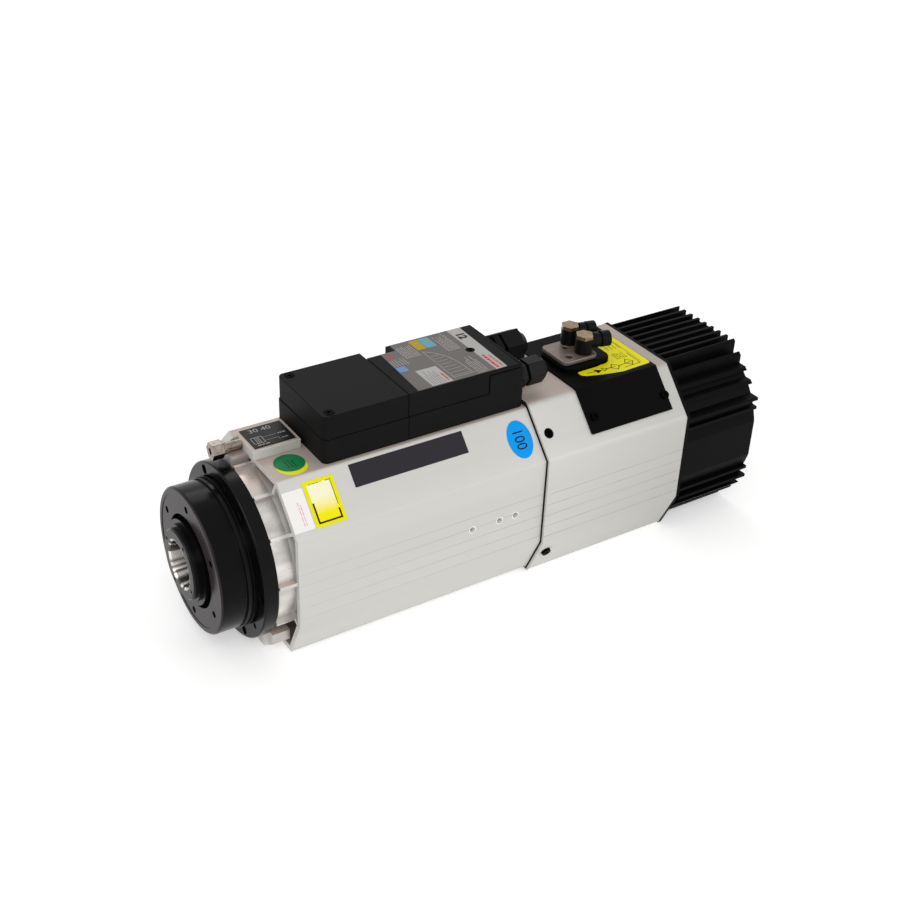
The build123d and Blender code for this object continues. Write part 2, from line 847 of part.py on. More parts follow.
# Sensors: speed pick-up over the toothed ring and the clamp position switch beside it
with BuildPart() as sensors:
    for angle in sensor_angles:
        with BuildSketch(Plane.YZ.offset(carrier_x + carrier_hub_length)) as head:
            with Locations(*on_circle(rear_locknut_radius + sensor_gap + sensor_height / 2, (angle,))):
                Rectangle(sensor_height, sensor_width, rotation=angle)
        extrude(head.sketch, amount=sensor_length)
save(sensors, "sensors")

# Seam gasket between the front and rear bodies
with BuildPart() as seam_gasket:
    with BuildSketch(Plane.YZ.offset(seam_x)):
        body_face(grow=-gasket_inset)
        Circle(carrier_flange_radius + gasket_clearance, mode=Mode.SUBTRACT)
    extrude(amount=gasket_thickness)
save(seam_gasket, "seam_gasket")

# Rear body: a wider section of the same shape, with ribs that hold the release cylinder
with BuildPart() as rear_body:
    with BuildSketch(Plane.YZ.offset(rear_x)):
        body_face(grow=rear_step)
    extrude(amount=rear_body_length)
    with BuildSketch(Plane.YZ.offset(rear_x)):
        body_face(grow=rear_step - rear_skin)
    extrude(amount=rear_rib_start, mode=Mode.SUBTRACT)
    with BuildSketch(Plane.YZ.offset(rear_x + rear_rib_start)):
        body_face(grow=rear_step - rear_skin)
        with PolarLocations(cylinder_radius, rear_rib_count, start_angle=rear_rib_angle):
            Rectangle(cylinder_radius, rear_rib_width, mode=Mode.SUBTRACT)
        Circle(cylinder_radius + seat_gap)
    extrude(amount=rear_body_length - rear_rib_start, mode=Mode.SUBTRACT)
    for plane in body_screw_planes:
        bolt(plane.offset(-body_screw_head - body_screw_recess), body_screw_radius,
             body_screw_head + body_screw_recess, body_screw_shank, rear_skin, grow=screw_clearance,
             mode=Mode.SUBTRACT)
    for plane in air_screw_planes:
        with BuildSketch(plane.offset(-air_cover_thickness)) as hole:
            Circle(body_screw_shank)
        extrude(hole.sketch, amount=-rear_skin / 2, mode=Mode.SUBTRACT)
save(rear_body, "rear_body")

with BuildPart() as body_screws:
    for plane in body_screw_planes:
        bolt(plane.offset(-body_screw_head - body_screw_recess), body_screw_radius, body_screw_head,
             body_screw_shank, rear_skin - body_screw_head - body_screw_recess)
        with BuildSketch(plane.offset(-body_screw_recess)) as socket:
            RegularPolygon(body_screw_radius * socket_share, 6)
        extrude(socket.sketch, amount=-body_screw_head / 2, mode=Mode.SUBTRACT)
save(body_screws, "body_screws")

# Release cylinder with its end cap
with BuildPart() as release_cylinder:
    ring(cylinder_x, cylinder_wall + cylinder_chamber, cylinder_radius, piston_rod_radius + running_gap)
    ring(chamber_x, cylinder_chamber, cylinder_bore, mode=Mode.SUBTRACT)
save(release_cylinder, "release_cylinder")

with BuildPart() as cylinder_cap:
    ring(chamber_end, cap_thickness, cylinder_radius)
    chamfer(cylinder_cap.edges().filter_by(GeomType.CIRCLE).sort_by(Axis.X)[-1], cover_chamfer)
save(cylinder_cap, "cylinder_cap")

# Piston with the rod and tip that push the drawbar
with BuildPart() as piston:
    turned(
        (piston_tip_x, 0),
        (piston_tip_x, piston_tip_radius),
        (piston_rod_x, piston_tip_radius),
        (piston_rod_x, piston_rod_radius),
        (piston_x, piston_rod_radius),
        (piston_x, cylinder_bore - running_gap),
        (piston_x + piston_thickness, cylinder_bore - running_gap),
        (piston_x + piston_thickness, 0),
    )
save(piston, "piston")

with BuildPart() as return_springs:
    disc_stack(chamber_x + spring_end_gap, piston_x - chamber_x - 2 * spring_end_gap, return_disc_count,
               return_spring_inner, return_spring_outer)
save(return_springs, "return_springs")

# Drawbar and the dished springs that pull it to the rear
with BuildPart() as drawbar:
    turned(
        (rod_head_x, 0),
        (rod_head_x, rod_head_radius),
        (rod_head_x + rod_head_length, rod_head_radius),
        (rod_head_x + rod_head_length, rod_radius),
        (spring_end, rod_radius),
        (spring_end, spring_bore_radius - spring_clearance),
        (spring_end + collar_length, spring_bore_radius - spring_clearance),
        (spring_end + collar_length, rear_rod_radius),
        (drawbar_end, rear_rod_radius),
        (drawbar_end, 0),
    )
save(drawbar, "drawbar")

with BuildPart() as disc_springs:
    disc_stack(spring_x + spring_end_gap, spring_stack_length - 2 * spring_end_gap, spring_disc_count,
               rod_radius + spring_clearance, spring_bore_radius - spring_clearance)
save(disc_springs, "disc_springs")

# Gripping petals: quarter shells with a front hook for the pull stud and a rear hook behind
# the head of the drawbar
for k in range(petal_count):
    angle = radians(360 / petal_count * k - petal_span / 2)
    petal_plane = Plane(origin=(0, 0, 0), x_dir=(1, 0, 0), z_dir=(0, -sin(angle), cos(angle)))
    with BuildPart() as petal:
        with BuildSketch(petal_plane):
            Polygon(
                (petal_x, grip_radius),
                (petal_x, petal_radius),
                (petal_end, petal_radius),
                (petal_end, petal_rear_radius),
                (petal_end - petal_rear_hook, petal_rear_radius),
                (petal_end - petal_rear_hook, petal_radius - petal_wall),
                (petal_x + petal_hook, petal_radius - petal_wall),
                (petal_x + petal_hook, grip_radius),
                align=None,
            )
        revolve(axis=Axis.X, revolution_arc=petal_span)
    save(petal, f"petal_{k + 1}")

# Rear plate between the body and the finned cover
with BuildPart() as rear_plate:
    with BuildSketch(Plane.YZ.offset(rear_end_x)):
        body_face(grow=rear_step)
        Circle(plate_opening, mode=Mode.SUBTRACT)
    extrude(amount=rear_plate_thickness)
save(rear_plate, "rear_plate")

# Finned rear cover: round tube with fins above, below and at the sides, cut to eight sides
with BuildPart() as rear_cover:
    with BuildSketch(Plane.YZ.offset(fins_x)):
        Circle(fin_core_radius)
        with GridLocations(fin_pitch, 1, 2 * fin_pairs + 1, 1):
            Rectangle(fin_thickness, 3 * fin_core_radius)
        with Locations(*((0, side * height) for height in side_fin_heights for side in (-1, 1))):
            Rectangle(3 * fin_core_radius, fin_thickness)
        fin_corners = [
            (fin_top_half, fin_top_z),
            (fin_side_half, fin_upper_z),
            (fin_side_half, fin_lower_z),
            (fin_foot_half, fin_foot_z),
        ]
        Polygon(*fin_corners, *[(-y, z) for y, z in reversed(fin_corners)], align=None, mode=Mode.INTERSECT)
        Circle(fin_bore, mode=Mode.SUBTRACT)
    extrude(amount=rear_cover_length)
save(rear_cover, "rear_cover")

# Fan: frame with its bearing hub on four spokes, rotor with twisted blades, and the guard
with BuildPart() as fan_frame:
    ring(fan_frame_x, fan_frame_depth, fin_bore - seat_gap, fin_bore - seat_gap - fan_frame_wall)
    with BuildSketch(Plane.YZ.offset(fan_frame_x)):
        Circle(fan_frame_hub)
        for angle in fan_spoke_angles:
            Rectangle(2 * fin_bore - fan_frame_wall, fan_spoke, rotation=angle)
        Circle(fan_pin_radius + running_gap, mode=Mode.SUBTRACT)
    extrude(amount=fan_frame_depth)
save(fan_frame, "fan_frame")

with BuildPart() as fan_rotor:
    ring(fan_x, fan_depth, fan_hub_radius)
    ring(fan_hub_end, fan_frame_gap + fan_pin_length, fan_pin_radius)
    for k in range(fan_blades):
        angle = radians(360 / fan_blades * k)
        sections = []
        for radius, chord, pitch in (
            (fan_hub_radius - blade_thickness, blade_root_chord, blade_root_angle),
            (fan_radius, blade_tip_chord, blade_tip_angle),
        ):
            blade_plane = Plane(
                origin=(fan_x + fan_depth / 2, radius * cos(angle), radius * sin(angle)),
                x_dir=(1, 0, 0),
                z_dir=(0, cos(angle), sin(angle)),
            )
            with BuildSketch(blade_plane) as blade_section:
                Rectangle(blade_thickness, chord, rotation=pitch)
            sections.append(blade_section.sketch)
        loft(sections=sections)
save(fan_rotor, "fan_rotor")

with BuildPart() as fan_guard:
    with BuildSketch(Plane.YZ.offset(end_x - guard_inset - guard_thickness)):
        Circle(fin_bore - seat_gap)
        Circle(fin_bore - seat_gap - guard_rim, mode=Mode.SUBTRACT)
        for k in range(guard_rings, 0, -1):
            wire_ring = k * (fin_bore - guard_rim) / (guard_rings + 1)
            Circle(wire_ring + guard_wire / 2)
            Circle(wire_ring - guard_wire / 2, mode=Mode.SUBTRACT)
        for angle in guard_bar_angles:
            Rectangle(2 * (fin_bore - guard_rim / 2), guard_wire, rotation=angle)
    extrude(amount=guard_thickness)
save(fan_guard, "fan_guard")

# Junction box: base with the raised end that carries the glands
with BuildPart() as box_base:
    with BuildSketch(Plane.XY.offset(top_z)):
        box_outline()
    extrude(amount=box_base_height)
    with BuildSketch(Plane.XY.offset(lid_z)):
        box_outline()
        with Locations((tower_x, 0)):
            Rectangle(gland_tower_length, 4 * box_half, align=(Align.MIN, Align.CENTER), mode=Mode.INTERSECT)
    extrude(amount=box_lid_height - lid_lip - lid_gap)
    with BuildSketch(Plane.XY.offset(top_z + box_wall)):
        box_outline(grow=-box_wall, corner=box_inner_corner)
    extrude(amount=box_base_height + box_lid_height, mode=Mode.SUBTRACT)
    with BuildSketch(Plane.XY.offset(top_z + box_wall)):
        with Locations((box_end_x - rear_screw_inset, 0)):
            Circle(lid_boss_radius)
        with Locations((box_x + lid_screw_inset, -lid_screw_y), (box_x + lid_screw_inset, lid_screw_y)):
            Circle(lid_boss_radius)
        with Locations((lid_split_x + notch_length / 2, box_half - notch_width / 2)):
            Circle(lid_boss_radius)
        with Locations((box_x + box_length / 2, 0)):
            Rectangle(box_length - box_wall, 2 * box_half - box_wall, mode=Mode.INTERSECT)
    extrude(amount=box_base_height - box_wall)
    posts(lid_z, box_lid_height - lid_lip - lid_gap, lid_boss_radius, [(box_end_x - rear_screw_inset, 0)])
    for y, flats in ((near_gland_y, near_gland_flats), (far_gland_y, far_gland_flats)):
        rods(box_end_x - box_wall, box_wall, flats / 2 - gland_nut_wall, [(y, gland_z)])
    posts(top_z, box_wall, wire_hole_radius, [(wire_hole_x, 0)], mode=Mode.SUBTRACT)
    with BuildSketch(Plane.XY.offset(top_z)):
        with Locations((lid_split_x, box_half), (lid_split_x, -box_half)):
            Rectangle(split_groove, 2 * split_groove)
    extrude(amount=box_base_height, mode=Mode.SUBTRACT)
    for x, y, z in lid_screw_places:
        posts(z - lid_screw_length, lid_screw_length, lid_screw_radius, [(x, y)], mode=Mode.SUBTRACT)
save(box_base, "box_base")


def lid(start, end, wall_end):
    """Lid shell from start to wall_end, whose top plate runs on to end."""
    with BuildSketch(Plane.XY.offset(lid_z)) as walls:
        box_outline(grow=-lid_inset)
        with Locations((start, 0)):
            Rectangle(wall_end - start, 4 * box_half, align=(Align.MIN, Align.CENTER), mode=Mode.INTERSECT)
    extrude(walls.sketch, amount=box_lid_height)
    with BuildSketch(Plane.XY.offset(box_top_z - lid_lip)) as top_plate:
        box_outline(grow=-lid_inset)
        with Locations((start, 0)):
            Rectangle(end - start, 4 * box_half, align=(Align.MIN, Align.CENTER), mode=Mode.INTERSECT)
    extrude(top_plate.sketch, amount=lid_lip)


def lid_screw_hole(x, y, z):
    """Hole for one lid screw, with the seat for its head."""
    seat_radius = lid_screw_head_radius + screw_clearance
    posts(z - lid_screw_head, lid_screw_head, seat_radius, [(x, y)], mode=Mode.SUBTRACT)
    posts(z - box_lid_height, box_lid_height, lid_screw_radius, [(x, y)], mode=Mode.SUBTRACT)


with BuildPart() as box_front_lid:
    lid(box_x, lid_split_x - lid_gap / 2, lid_split_x - lid_gap / 2)
    with BuildSketch(Plane.XY.offset(lid_z)):
        box_outline(grow=-lid_inset - box_wall, corner=box_inner_corner)
        with Locations((box_x, 0)):
            Rectangle(lid_split_x - lid_gap / 2 - box_wall - box_x, 4 * box_half,
                      align=(Align.MIN, Align.CENTER), mode=Mode.INTERSECT)
        with Locations(*((x, y) for x, y, z in lid_screw_places[:2])):
            Circle(lid_boss_radius, mode=Mode.SUBTRACT)
    extrude(amount=box_lid_height - lid_lip, mode=Mode.SUBTRACT)
    for place in lid_screw_places[:2]:
        lid_screw_hole(*place)
save(box_front_lid, "box_front_lid")

with BuildPart() as box_rear_lid:
    lid(lid_split_x + lid_gap / 2, box_end_x - lid_lip, tower_x - lid_gap)
    with BuildSketch(Plane.XY.offset(lid_z)):
        box_outline(grow=-lid_inset - box_wall, corner=box_inner_corner)
        with Locations((lid_split_x + lid_gap / 2 + box_wall, 0)):
            Rectangle(box_length, 4 * box_half, align=(Align.MIN, Align.CENTER), mode=Mode.INTERSECT)
        with Locations((lid_split_x, box_half)):
            Rectangle(2 * (notch_length + box_wall), 2 * (notch_width + box_wall), mode=Mode.SUBTRACT)
    extrude(amount=box_lid_height - lid_lip, mode=Mode.SUBTRACT)
    with BuildSketch(Plane.XY.offset(box_top_z)):
        with Locations((lid_split_x, box_half)):
            Rectangle(2 * notch_length, 2 * notch_width)
    extrude(amount=-notch_depth, mode=Mode.SUBTRACT)
    for place in lid_screw_places[2:]:
        lid_screw_hole(*place)
save(box_rear_lid, "box_rear_lid")

with BuildPart() as lid_screws:
    for x, y, z in lid_screw_places:
        plane = Plane(origin=(x, y, z - lid_screw_head), x_dir=(1, 0, 0), z_dir=(0, 0, 1))
        bolt(plane, lid_screw_head_radius, lid_screw_head, lid_screw_radius, lid_screw_length - lid_screw_head)
        with BuildSketch(plane.offset(lid_screw_head)) as socket:
            RegularPolygon(lid_screw_head_radius * socket_share, 6)
        extrude(socket.sketch, amount=-lid_screw_head / 2, mode=Mode.SUBTRACT)
save(lid_screws, "lid_screws")

# Terminal block on the floor of the box, with a slot between its poles
with BuildPart() as terminal_block:
    corner_box(terminal_x, terminal_depth, -terminal_length / 2, terminal_length, top_z + box_wall,
               terminal_height)
    with BuildSketch(Plane.XY.offset(top_z + box_wall + terminal_height)):
        with Locations((terminal_x + terminal_depth / 2, 0)):
            with GridLocations(1, terminal_length / terminal_poles, 1, terminal_poles - 1):
                Rectangle(2 * terminal_depth, terminal_slot)
    extrude(amount=-terminal_height / 2, mode=Mode.SUBTRACT)
save(terminal_block, "terminal_block")

# Cable glands: the far one is larger and stands on a neck
for side, y, flats, turn, neck, reach in (
    ("near", near_gland_y, near_gland_flats, 0, 0.0, near_gland_reach),
    ("far", far_gland_y, far_gland_flats, 30, far_gland_neck, far_gland_reach),
):
    place = [(y, gland_z)]
    thread = flats / 2 - gland_nut_wall
    flange_start = box_end_x + neck
    nut_start = flange_start + gland_flange + gland_nut_gap
    nut_end = box_end_x + reach
    dome_x = nut_end - gland_dome
    inner_x = box_end_x - 2 * box_wall
    with BuildPart() as gland_body:
        rods(inner_x, dome_x - inner_x, thread, place, mode=Mode.ADD)
        hexes(flange_start, gland_flange, flats, place, turn)
        rods(inner_x, dome_x - inner_x, thread - gland_body_wall, place)
    save(gland_body, f"gland_body_{side}")
    with BuildPart() as gland_nut:
        hexes(nut_start, dome_x - nut_start, flats, place, turn)
        with BuildSketch(Plane.YZ.offset(dome_x)) as dome_base:
            with Locations(*place):
                Circle(flats / 2)
        with BuildSketch(Plane.YZ.offset(nut_end)) as dome_top:
            with Locations(*place):
                Circle(flats / 2 - gland_dome_inset)
        loft(sections=[dome_base.sketch, dome_top.sketch])
        rods(nut_start, dome_x + gland_thread_gap - nut_start, thread + gland_thread_gap, place)
        rods(nut_start, nut_end - nut_start, thread - gland_body_wall, place)
    save(gland_nut, f"gland_nut_{side}")

with BuildPart() as gland_seals:
    for y, flats, reach, bore in (
        (near_gland_y, near_gland_flats, near_gland_reach, near_gland_bore),
        (far_gland_y, far_gland_flats, far_gland_reach, far_gland_bore),
    ):
        seal_x = box_end_x + reach - gland_dome - gland_seal_length / 2
        seal_radius = flats / 2 - gland_nut_wall - gland_body_wall - fit_gap
        rods(seal_x, gland_seal_length, seal_radius, [(y, gland_z)], mode=Mode.ADD)
        rods(seal_x, gland_seal_length, bore, [(y, gland_z)])
save(gland_seals, "gland_seals")

# Name pad with the bevelled ear beside the front air fitting, and the bare plate on it
with BuildPart() as name_pad:
    corner_box(pad_x, pad_length, pad_near_y, pad_width, top_z, pad_height)
    corner_box(pad_x - ear_length, ear_length, ear_near_y, pad_near_y + pad_width - ear_near_y, top_z,
               pad_height)
    front_edge = name_pad.edges().filter_by(Axis.Y).group_by(Axis.Z)[-1].sort_by(Axis.X)[0]
    chamfer(front_edge, ear_drop)
save(name_pad, "name_pad")

with BuildPart() as name_plate:
    corner_box(pad_x + plate_margin, pad_length - 2 * plate_margin, pad_near_y + plate_margin,
               pad_width - 2 * plate_margin, pad_top_z, plate_thickness)
save(name_plate, "name_plate")

# Front air fitting: tube into the pad, collar and hexagon nut
with BuildPart() as air_fitting_body:
    rods(fitting_nut_x + fitting_nut_length / 2, pad_x - fitting_nut_x - fitting_nut_length / 2,
         fitting_tube, [(fitting_y, fitting_z)], mode=Mode.ADD)
    rods(fitting_nut_x + fitting_nut_length + body_gap, fitting_collar_length, fitting_collar_radius,
         [(fitting_y, fitting_z)], mode=Mode.ADD)
    rods(fitting_nut_x, pad_x - fitting_nut_x, fitting_bore, [(fitting_y, fitting_z)])
save(air_fitting_body, "air_fitting_body")

with BuildPart() as air_fitting_nut:
    hexes(fitting_nut_x, fitting_nut_length, fitting_flats, [(fitting_y, fitting_z)])
    rods(fitting_nut_x + fitting_nut_length / 2, fitting_nut_length, fitting_tube + fit_gap,
         [(fitting_y, fitting_z)])
    rods(fitting_nut_x, fitting_nut_length, fitting_bore, [(fitting_y, fitting_z)])
save(air_fitting_nut, "air_fitting_nut")

# Air cover: folded sheet over the rear body with the raised port block
with BuildPart() as air_cover:
    with BuildSketch(Plane.YZ.offset(air_cover_x)):
        body_face(grow=rear_step + air_cover_thickness)
        body_face(grow=rear_step, mode=Mode.SUBTRACT)
        with Locations((0, air_cover_drop_z)):
            Rectangle(4 * side_half, 2 * top_z, align=(Align.CENTER, Align.MIN), mode=Mode.INTERSECT)
    extrude(amount=air_cover_length)
    with BuildSketch(Plane.XY.offset(boss_z - air_cover_thickness)) as boss_outline:
        with Locations((boss_x + boss_length / 2, 0)):
            RectangleRounded(boss_length, 2 * boss_half, boss_corner)
    extrude(boss_outline.sketch, amount=boss_height + air_cover_thickness)
    fillet(air_cover.faces().sort_by(Axis.Z)[-1].edges(), boss_edge)
    posts(boss_z, boss_height, port_hole_radius, [(port_hole_x, port_hole_y)], mode=Mode.SUBTRACT)
    for plane in air_screw_planes:
        with BuildSketch(plane) as hole:
            Circle(body_screw_shank)
        extrude(hole.sketch, amount=-air_cover_thickness, mode=Mode.SUBTRACT)
save(air_cover, "air_cover")

with BuildPart() as air_cover_screws:
    for plane in air_screw_planes:
        bolt(plane, air_screw_radius, air_screw_head, body_screw_shank, air_cover_thickness + rear_skin / 2)
        with BuildSketch(plane.offset(air_screw_head)) as socket:
            RegularPolygon(air_screw_radius * socket_share, 6)
        extrude(socket.sketch, amount=-air_screw_head / 2, mode=Mode.SUBTRACT)
save(air_cover_screws, "air_cover_screws")

# Port plate on the block, its plug, and the two bolts that hold the elbows
banjo_places = [(banjo_x, banjo_y - banjo_spacing / 2), (banjo_x, banjo_y + banjo_spacing / 2)]
banjo_head_corner = banjo_head_flats / 2 / cos(radians(30))
elbow_z = port_top_z + turn_gap
elbow_top_z = elbow_z + banjo_height

with BuildPart() as port_plate:
    with BuildSketch(Plane.XY.offset(port_z)):
        with Locations((port_plate_x + port_plate_length / 2, port_plate_y)):
            RectangleRounded(port_plate_length, 2 * port_plate_half, port_corner)
        with Locations(*banjo_places):
            Circle(banjo_bolt_radius, mode=Mode.SUBTRACT)
        with Locations((port_hole_x, port_hole_y)):
            Circle(port_hole_radius, mode=Mode.SUBTRACT)
        with Locations((port_plug_x, port_plug_y)):
            Circle(port_plug_radius, mode=Mode.SUBTRACT)
    extrude(amount=port_plate_height)
save(port_plate, "port_plate")

with BuildPart() as port_plug:
    posts(port_z, port_plate_height - body_gap, port_plug_radius, [(port_plug_x, port_plug_y)])
save(port_plug, "port_plug")

with BuildPart() as banjo_bolts:
    posts(port_z, elbow_top_z + turn_gap - port_z, banjo_bolt_radius, banjo_places)
    with BuildSketch(Plane.XY.offset(elbow_top_z + turn_gap)):
        with Locations(*banjo_places):
            RegularPolygon(banjo_head_flats / 2, 6, major_radius=False)
    extrude(amount=banjo_head)
save(banjo_bolts, "banjo_bolts")


def arm_rod(y, start, length, radius, mode=Mode.ADD):
    """Round rod along the arm of the elbow at y, from start outward."""
    turn = radians(arm_turn)
    outward = (cos(turn), sin(turn), 0)
    plane = Plane(origin=(banjo_x, y, elbow_z + arm_rise), x_dir=(0, 0, 1), z_dir=outward)
    with BuildSketch(plane.offset(start)) as section:
        Circle(radius)
    extrude(section.sketch, amount=length, mode=mode)


# Swivel elbows with push-in tube sockets and their release collars
release_x = arm_reach + release_press + body_gap
neck_end = release_x + release_length - release_lip - release_press - body_gap
for side, (x, y) in zip(("near", "far"), banjo_places):
    with BuildPart() as elbow:
        arm_rod(y, 0, arm_reach, arm_radius)
        arm_rod(y, arm_reach, neck_end - arm_reach, neck_radius)
        posts(elbow_z - banjo_height, 3 * banjo_height, banjo_radius, [(x, y)], mode=Mode.SUBTRACT)
        posts(elbow_top_z, banjo_height, banjo_head_corner + body_gap, [(x, y)], mode=Mode.SUBTRACT)
        posts(elbow_z, banjo_height, banjo_radius, [(x, y)])
        posts(elbow_z, banjo_height, banjo_bolt_radius + running_gap, [(x, y)], mode=Mode.SUBTRACT)
        arm_rod(y, banjo_bolt_radius, neck_end - banjo_bolt_radius, arm_bore, mode=Mode.SUBTRACT)
        arm_rod(y, neck_end - socket_depth, socket_depth, socket_radius, mode=Mode.SUBTRACT)
    save(elbow, f"elbow_{side}")
    with BuildPart() as release_collar:
        arm_rod(y, release_x, release_length, release_radius)
        arm_rod(y, release_x, release_length - release_lip, neck_radius + running_gap, mode=Mode.SUBTRACT)
        arm_rod(y, release_x, release_length, release_mouth, mode=Mode.SUBTRACT)
    save(release_collar, f"release_collar_{side}")
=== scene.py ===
import random
from math import cos, pi, radians, sin

import bmesh
import bpy
from mathutils import Matrix, Quaternion, Vector
from mathutils.geometry import tessellate_polygon


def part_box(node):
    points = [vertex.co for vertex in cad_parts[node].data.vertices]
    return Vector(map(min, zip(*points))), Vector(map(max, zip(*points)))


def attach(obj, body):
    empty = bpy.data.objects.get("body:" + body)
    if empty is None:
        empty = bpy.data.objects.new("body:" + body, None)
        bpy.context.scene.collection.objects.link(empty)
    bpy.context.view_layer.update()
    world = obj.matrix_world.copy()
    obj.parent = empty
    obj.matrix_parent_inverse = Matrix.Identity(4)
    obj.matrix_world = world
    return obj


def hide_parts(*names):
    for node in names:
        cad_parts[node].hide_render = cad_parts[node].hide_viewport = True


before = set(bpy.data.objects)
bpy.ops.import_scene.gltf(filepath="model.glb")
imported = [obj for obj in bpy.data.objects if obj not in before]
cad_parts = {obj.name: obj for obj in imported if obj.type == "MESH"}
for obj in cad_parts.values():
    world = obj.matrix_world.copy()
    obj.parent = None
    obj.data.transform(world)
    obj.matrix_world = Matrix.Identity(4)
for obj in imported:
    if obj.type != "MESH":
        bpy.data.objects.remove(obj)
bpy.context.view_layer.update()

# The motor spindle dressed for its picture. Lengths are written in millimetres and scaled here.
mm = 0.001

# Body section: its heights and its seam come from the solids, its slopes are those of the front body
top_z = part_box("front_body")[1].z / mm
seam_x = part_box("front_body")[1].x / mm
floor_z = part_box("rear_body")[0].z
slope_top_y = 34.7
slope_down = Vector((0, -0.6853, -0.7281))
slope_out = Vector((0, -0.7281, 0.6853))
low_out = Vector((0, -0.9103, -0.4141))


def colour(red, green, blue):
    """Linear colour from the 0 to 255 values that it has on screen."""
    shades = [value / 255 for value in (red, green, blue)]
    linear = [s / 12.92 if s <= 0.04045 else ((s + 0.055) / 1.055) ** 2.4 for s in shades]
    return (*linear, 1.0)


def in_scene(name, data):
    """New object with this data, linked to the scene."""
    made = bpy.data.objects.new(name, data)
    bpy.context.scene.collection.objects.link(made)
    return made


# Shader groups

def group(name, inputs, outputs):
    """Empty shader node group with named sockets."""
    tree = bpy.data.node_groups.new(name, "ShaderNodeTree")
    for label, kind, value in inputs:
        socket = tree.interface.new_socket(label, in_out="INPUT", socket_type=kind)
        socket.default_value = value
    for label, kind in outputs:
        tree.interface.new_socket(label, in_out="OUTPUT", socket_type=kind)
    return tree, tree.nodes.new("NodeGroupInput"), tree.nodes.new("NodeGroupOutput")


def stretched_noise(tree, given, scale_socket, detail):
    """Noise on Object coordinates, drawn out by the group's Stretch input."""
    place = tree.nodes.new("ShaderNodeTexCoord")
    scaled = tree.nodes.new("ShaderNodeVectorMath")
    scaled.operation = "MULTIPLY"
    noise = tree.nodes.new("ShaderNodeTexNoise")
    noise.inputs["Detail"].default_value = detail
    tree.links.new(place.outputs["Object"], scaled.inputs[0])
    tree.links.new(given.outputs["Stretch"], scaled.inputs[1])
    tree.links.new(scaled.outputs[0], noise.inputs["Vector"])
    tree.links.new(given.outputs[scale_socket], noise.inputs["Scale"])
    return noise.outputs["Fac"]


def combine(tree, operation, first, second=None):
    """Math node on one or two sockets or numbers."""
    node = tree.nodes.new("ShaderNodeMath")
    node.operation = operation
    for socket, value in zip(node.inputs, (first, second)):
        if isinstance(value, float):
            socket.default_value = value
        elif value is not None:
            tree.links.new(value, socket)
    return node.outputs[0]


def span(tree, value, low, high):
    """Map a 0 to 1 value onto the range between two group inputs."""
    node = tree.nodes.new("ShaderNodeMapRange")
    tree.links.new(value, node.inputs["Value"])
    tree.links.new(low, node.inputs["To Min"])
    tree.links.new(high, node.inputs["To Max"])
    return node.outputs["Result"]


def ramp(tree, value, low, high, start=0.0, kind="LINEAR"):
    """Map a value between two numbers onto start to 1."""
    node = tree.nodes.new("ShaderNodeMapRange")
    node.interpolation_type = kind
    node.inputs["From Min"].default_value = low
    node.inputs["From Max"].default_value = high
    node.inputs["To Min"].default_value = start
    tree.links.new(value, node.inputs["Value"])
    return node.outputs["Result"]


def place_in(tree):
    """Object coordinates, whole and split into X, Y and Z."""
    place = tree.nodes.new("ShaderNodeTexCoord")
    split = tree.nodes.new("ShaderNodeSeparateXYZ")
    tree.links.new(place.outputs["Object"], split.inputs[0])
    return place.outputs["Object"], split.outputs


def facing_in(tree):
    """Direction that the surface faces, split into X, Y and Z."""
    facing = tree.nodes.new("ShaderNodeNewGeometry")
    split = tree.nodes.new("ShaderNodeSeparateXYZ")
    tree.links.new(facing.outputs["Normal"], split.inputs[0])
    return split.outputs


def grain_group():
    """Fine surface grain: a roughness that wanders and a height for bump."""
    tree, given, made = group(
        "fine_grain",
        [
            ("Stretch", "NodeSocketVector", (1, 1, 1)),
            ("Grain Scale", "NodeSocketFloat", 1500.0),
            ("Rough Low", "NodeSocketFloat", 0.4),
            ("Rough High", "NodeSocketFloat", 0.5),
        ],
        [("Roughness", "NodeSocketFloat"), ("Height", "NodeSocketFloat")],
    )
    noise = stretched_noise(tree, given, "Grain Scale", 4.0)
    tree.links.new(noise, made.inputs["Height"])
    rough = span(tree, noise, given.outputs["Rough Low"], given.outputs["Rough High"])
    tree.links.new(rough, made.inputs["Roughness"])
    return tree


def tone_and_reflection_group():
    """Slow change of tone over a surface, with a painted reflection as a second tone on faces that look up.
    """
    tree, given, made = group(
        "tone_and_reflection",
        [
            ("Stretch", "NodeSocketVector", (1, 1, 1)),
            ("Tone Scale", "NodeSocketFloat", 20.0),
            ("Light", "NodeSocketColor", (0.6, 0.6, 0.6, 1)),
            ("Dark", "NodeSocketColor", (0.5, 0.5, 0.5, 1)),
            ("Upward Reflection", "NodeSocketColor", (0.5, 0.5, 0.5, 1)),
            ("Upward Share", "NodeSocketFloat", 0.0),
        ],
        [("Color", "NodeSocketColor")],
    )
    noise = stretched_noise(tree, given, "Tone Scale", 3.0)
    mix = tree.nodes.new("ShaderNodeMix")
    mix.data_type = "RGBA"
    tree.links.new(noise, mix.inputs["Factor"])
    tree.links.new(given.outputs["Light"], mix.inputs["A"])
    tree.links.new(given.outputs["Dark"], mix.inputs["B"])
    # Painted reflection: faces that look up take the upward colour, as if they mirrored a warm surrounding
    upward_from, upward_to = 0.86, 0.98
    upward_reflection = ramp(tree, facing_in(tree)["Z"], upward_from, upward_to)
    share = combine(tree, "MULTIPLY", upward_reflection, given.outputs["Upward Share"])
    second = tree.nodes.new("ShaderNodeMix")
    second.data_type = "RGBA"
    tree.links.new(share, second.inputs["Factor"])
    tree.links.new(mix.outputs["Result"], second.inputs["A"])
    tree.links.new(given.outputs["Upward Reflection"], second.inputs["B"])
    tree.links.new(second.outputs["Result"], made.inputs["Color"])
    return tree


